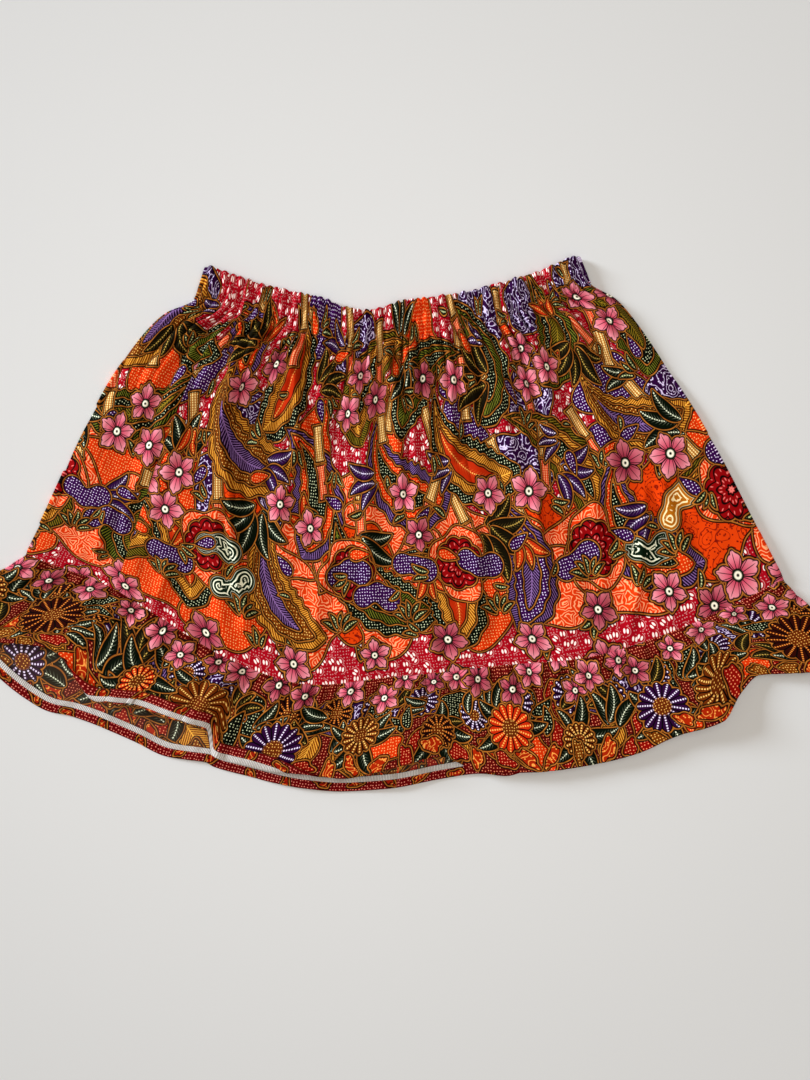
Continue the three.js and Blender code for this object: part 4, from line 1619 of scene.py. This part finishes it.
# ---- Operators ----
class SKIRT_OT_stage(bpy.types.Operator):
    """Lays the table top and sets the light and the camera straight above it"""

    bl_idname = "skirt.stage"
    bl_label = "Table, light and camera"

    def execute(self, context):
        stage = context.scene.skirt_stage
        mesh = bpy.data.meshes.new("table_top")
        bm = bmesh.new()
        bmesh.ops.create_grid(bm, x_segments=1, y_segments=1, size=2.5)
        bmesh.ops.translate(bm, verts=bm.verts, vec=(0, 0, -0.2 * MM))
        bm.to_mesh(mesh)
        bm.free()
        mesh.materials.append(table_top())
        add_object("table_top", mesh)

        # A window at the left and a weak light from above, each aimed at the middle of the table.
        for name, colour, power, size, place in (
            ("window_light", "#E2ECFA", stage.key_power, 2.5, (-8.4, 3.4, 3.05)),
            ("window_glow", "#F8F8FA", stage.glow_power, 2.0, (0.3, 0.0, 2.0)),
        ):
            lamp = bpy.data.lights.new(name, "AREA")
            lamp.size, lamp.energy, lamp.color = size, power, linear(colour)
            light = add_object(name, lamp)
            light.location = place
            light.rotation_euler = (-Vector(place)).to_track_quat("-Z", "Y").to_euler()

        world = bpy.data.worlds.new("Room")
        world.use_nodes = True
        context.scene.world = world
        background = world.node_tree.nodes["Background"]
        background.inputs["Color"].default_value = (*linear("#FFEEDC"), 1)
        background.inputs["Strength"].default_value = stage.sky_strength

        lens = bpy.data.cameras.new("camera")
        lens.lens = lens.sensor_width * stage.camera_height / stage.view_length
        camera = add_object("camera", lens)
        camera.location = (0, 0, stage.camera_height)
        context.scene.camera = camera
        context.scene.view_settings.view_transform = "Standard"
        return {"FINISHED"}


class SKIRT_OT_panels(bpy.types.Operator):
    """Makes the front and back panels, gathered at the waist"""

    bl_idname = "skirt.panels"
    bl_label = "Front and back panels"

    def execute(self, context):
        seeds = context.scene.skirt_print
        front = make_panel("panel_front_cloth", "panel_front", True, seeds.front_seed)
        back = make_panel("panel_back_cloth", "panel_back", False, seeds.back_seed)
        return {"FINISHED"}


class SKIRT_OT_casing(bpy.types.Operator):
    """Makes the two halves of the elasticated waist casing and its stitching"""

    bl_idname = "skirt.casing"
    bl_label = "Waist casing"

    def execute(self, context):
        seeds = context.scene.skirt_print
        front = make_casing("casing_front_cloth", "casing_front", True, seeds.front_seed)
        back = make_casing("casing_back_cloth", "casing_back", False, seeds.back_seed)

        def row(across):
            down = CASING_HEIGHT + np.array([0.5, 1.2, 1.9])
            face = tube_grid(body_point, Places(across, 0 * across), down)
            face[..., 2] += context.scene.skirt_cloth.stand_off + 0.15
            return face[:, 1]

        stitches = make_stitches("casing_stitches", row, 118, 0.02, 0.98)
        return {"FINISHED"}


class SKIRT_OT_ruffle(bpy.types.Operator):
    """Makes the two ruffle strips and their turned-up hems"""

    bl_idname = "skirt.ruffle"
    bl_label = "Ruffle and hem"

    def execute(self, context):
        seeds = context.scene.skirt_print
        one = make_ruffle("ruffle_front_cloth", "ruffle_front", True, seeds.ruffle_seed)
        two = make_ruffle("ruffle_back_cloth", "ruffle_back", False, seeds.ruffle_seed)
        hem_one = make_hem("hem_front_cloth", "hem_front", True, 3)
        hem_two = make_hem("hem_back_cloth", "hem_back", False, 5)
        lock_one = make_overlock("hem_front_overlock", True)
        lock_two = make_overlock("hem_back_overlock", False)
        hem_one, hem_two = [hem_one, lock_one], [hem_two, lock_two]
        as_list(hem_one)
        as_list(hem_two)
        return {"FINISHED"}


class SKIRT_PT_panel(bpy.types.Panel):
    """Sidebar panel with the skirt's settings and steps"""

    bl_idname = "SKIRT_PT_panel"
    bl_label = "Printed skirt"
    bl_space_type = "VIEW_3D"
    bl_region_type = "UI"
    bl_category = "Skirt"

    def draw(self, context):
        layout = self.layout
        for owner in ("skirt_cloth", "skirt_print", "skirt_stage"):
            group = getattr(context.scene, owner)
            column = layout.column()
            for name in group.__annotations__:
                column.prop(group, name)
        for operator in OPERATORS:
            layout.operator(operator.bl_idname)


OPERATORS = (SKIRT_OT_stage, SKIRT_OT_panels, SKIRT_OT_casing, SKIRT_OT_ruffle)
GROUPS = (SkirtClothSettings, SkirtPrintSettings, SkirtStageSettings)
CLASSES = (*GROUPS, *OPERATORS, SKIRT_PT_panel)


def register():
    for cls in CLASSES:
        bpy.utils.register_class(cls)
    bpy.types.Scene.skirt_cloth = PointerProperty(type=SkirtClothSettings)
    bpy.types.Scene.skirt_print = PointerProperty(type=SkirtPrintSettings)
    bpy.types.Scene.skirt_stage = PointerProperty(type=SkirtStageSettings)


def unregister():
    del bpy.types.Scene.skirt_stage
    del bpy.types.Scene.skirt_print
    del bpy.types.Scene.skirt_cloth
    for cls in reversed(CLASSES):
        bpy.utils.unregister_class(cls)


def main():
    register()
    bpy.ops.skirt.stage()
    bpy.ops.skirt.panels()
    bpy.ops.skirt.casing()
    bpy.ops.skirt.ruffle()


if __name__ == "__main__":
    main()
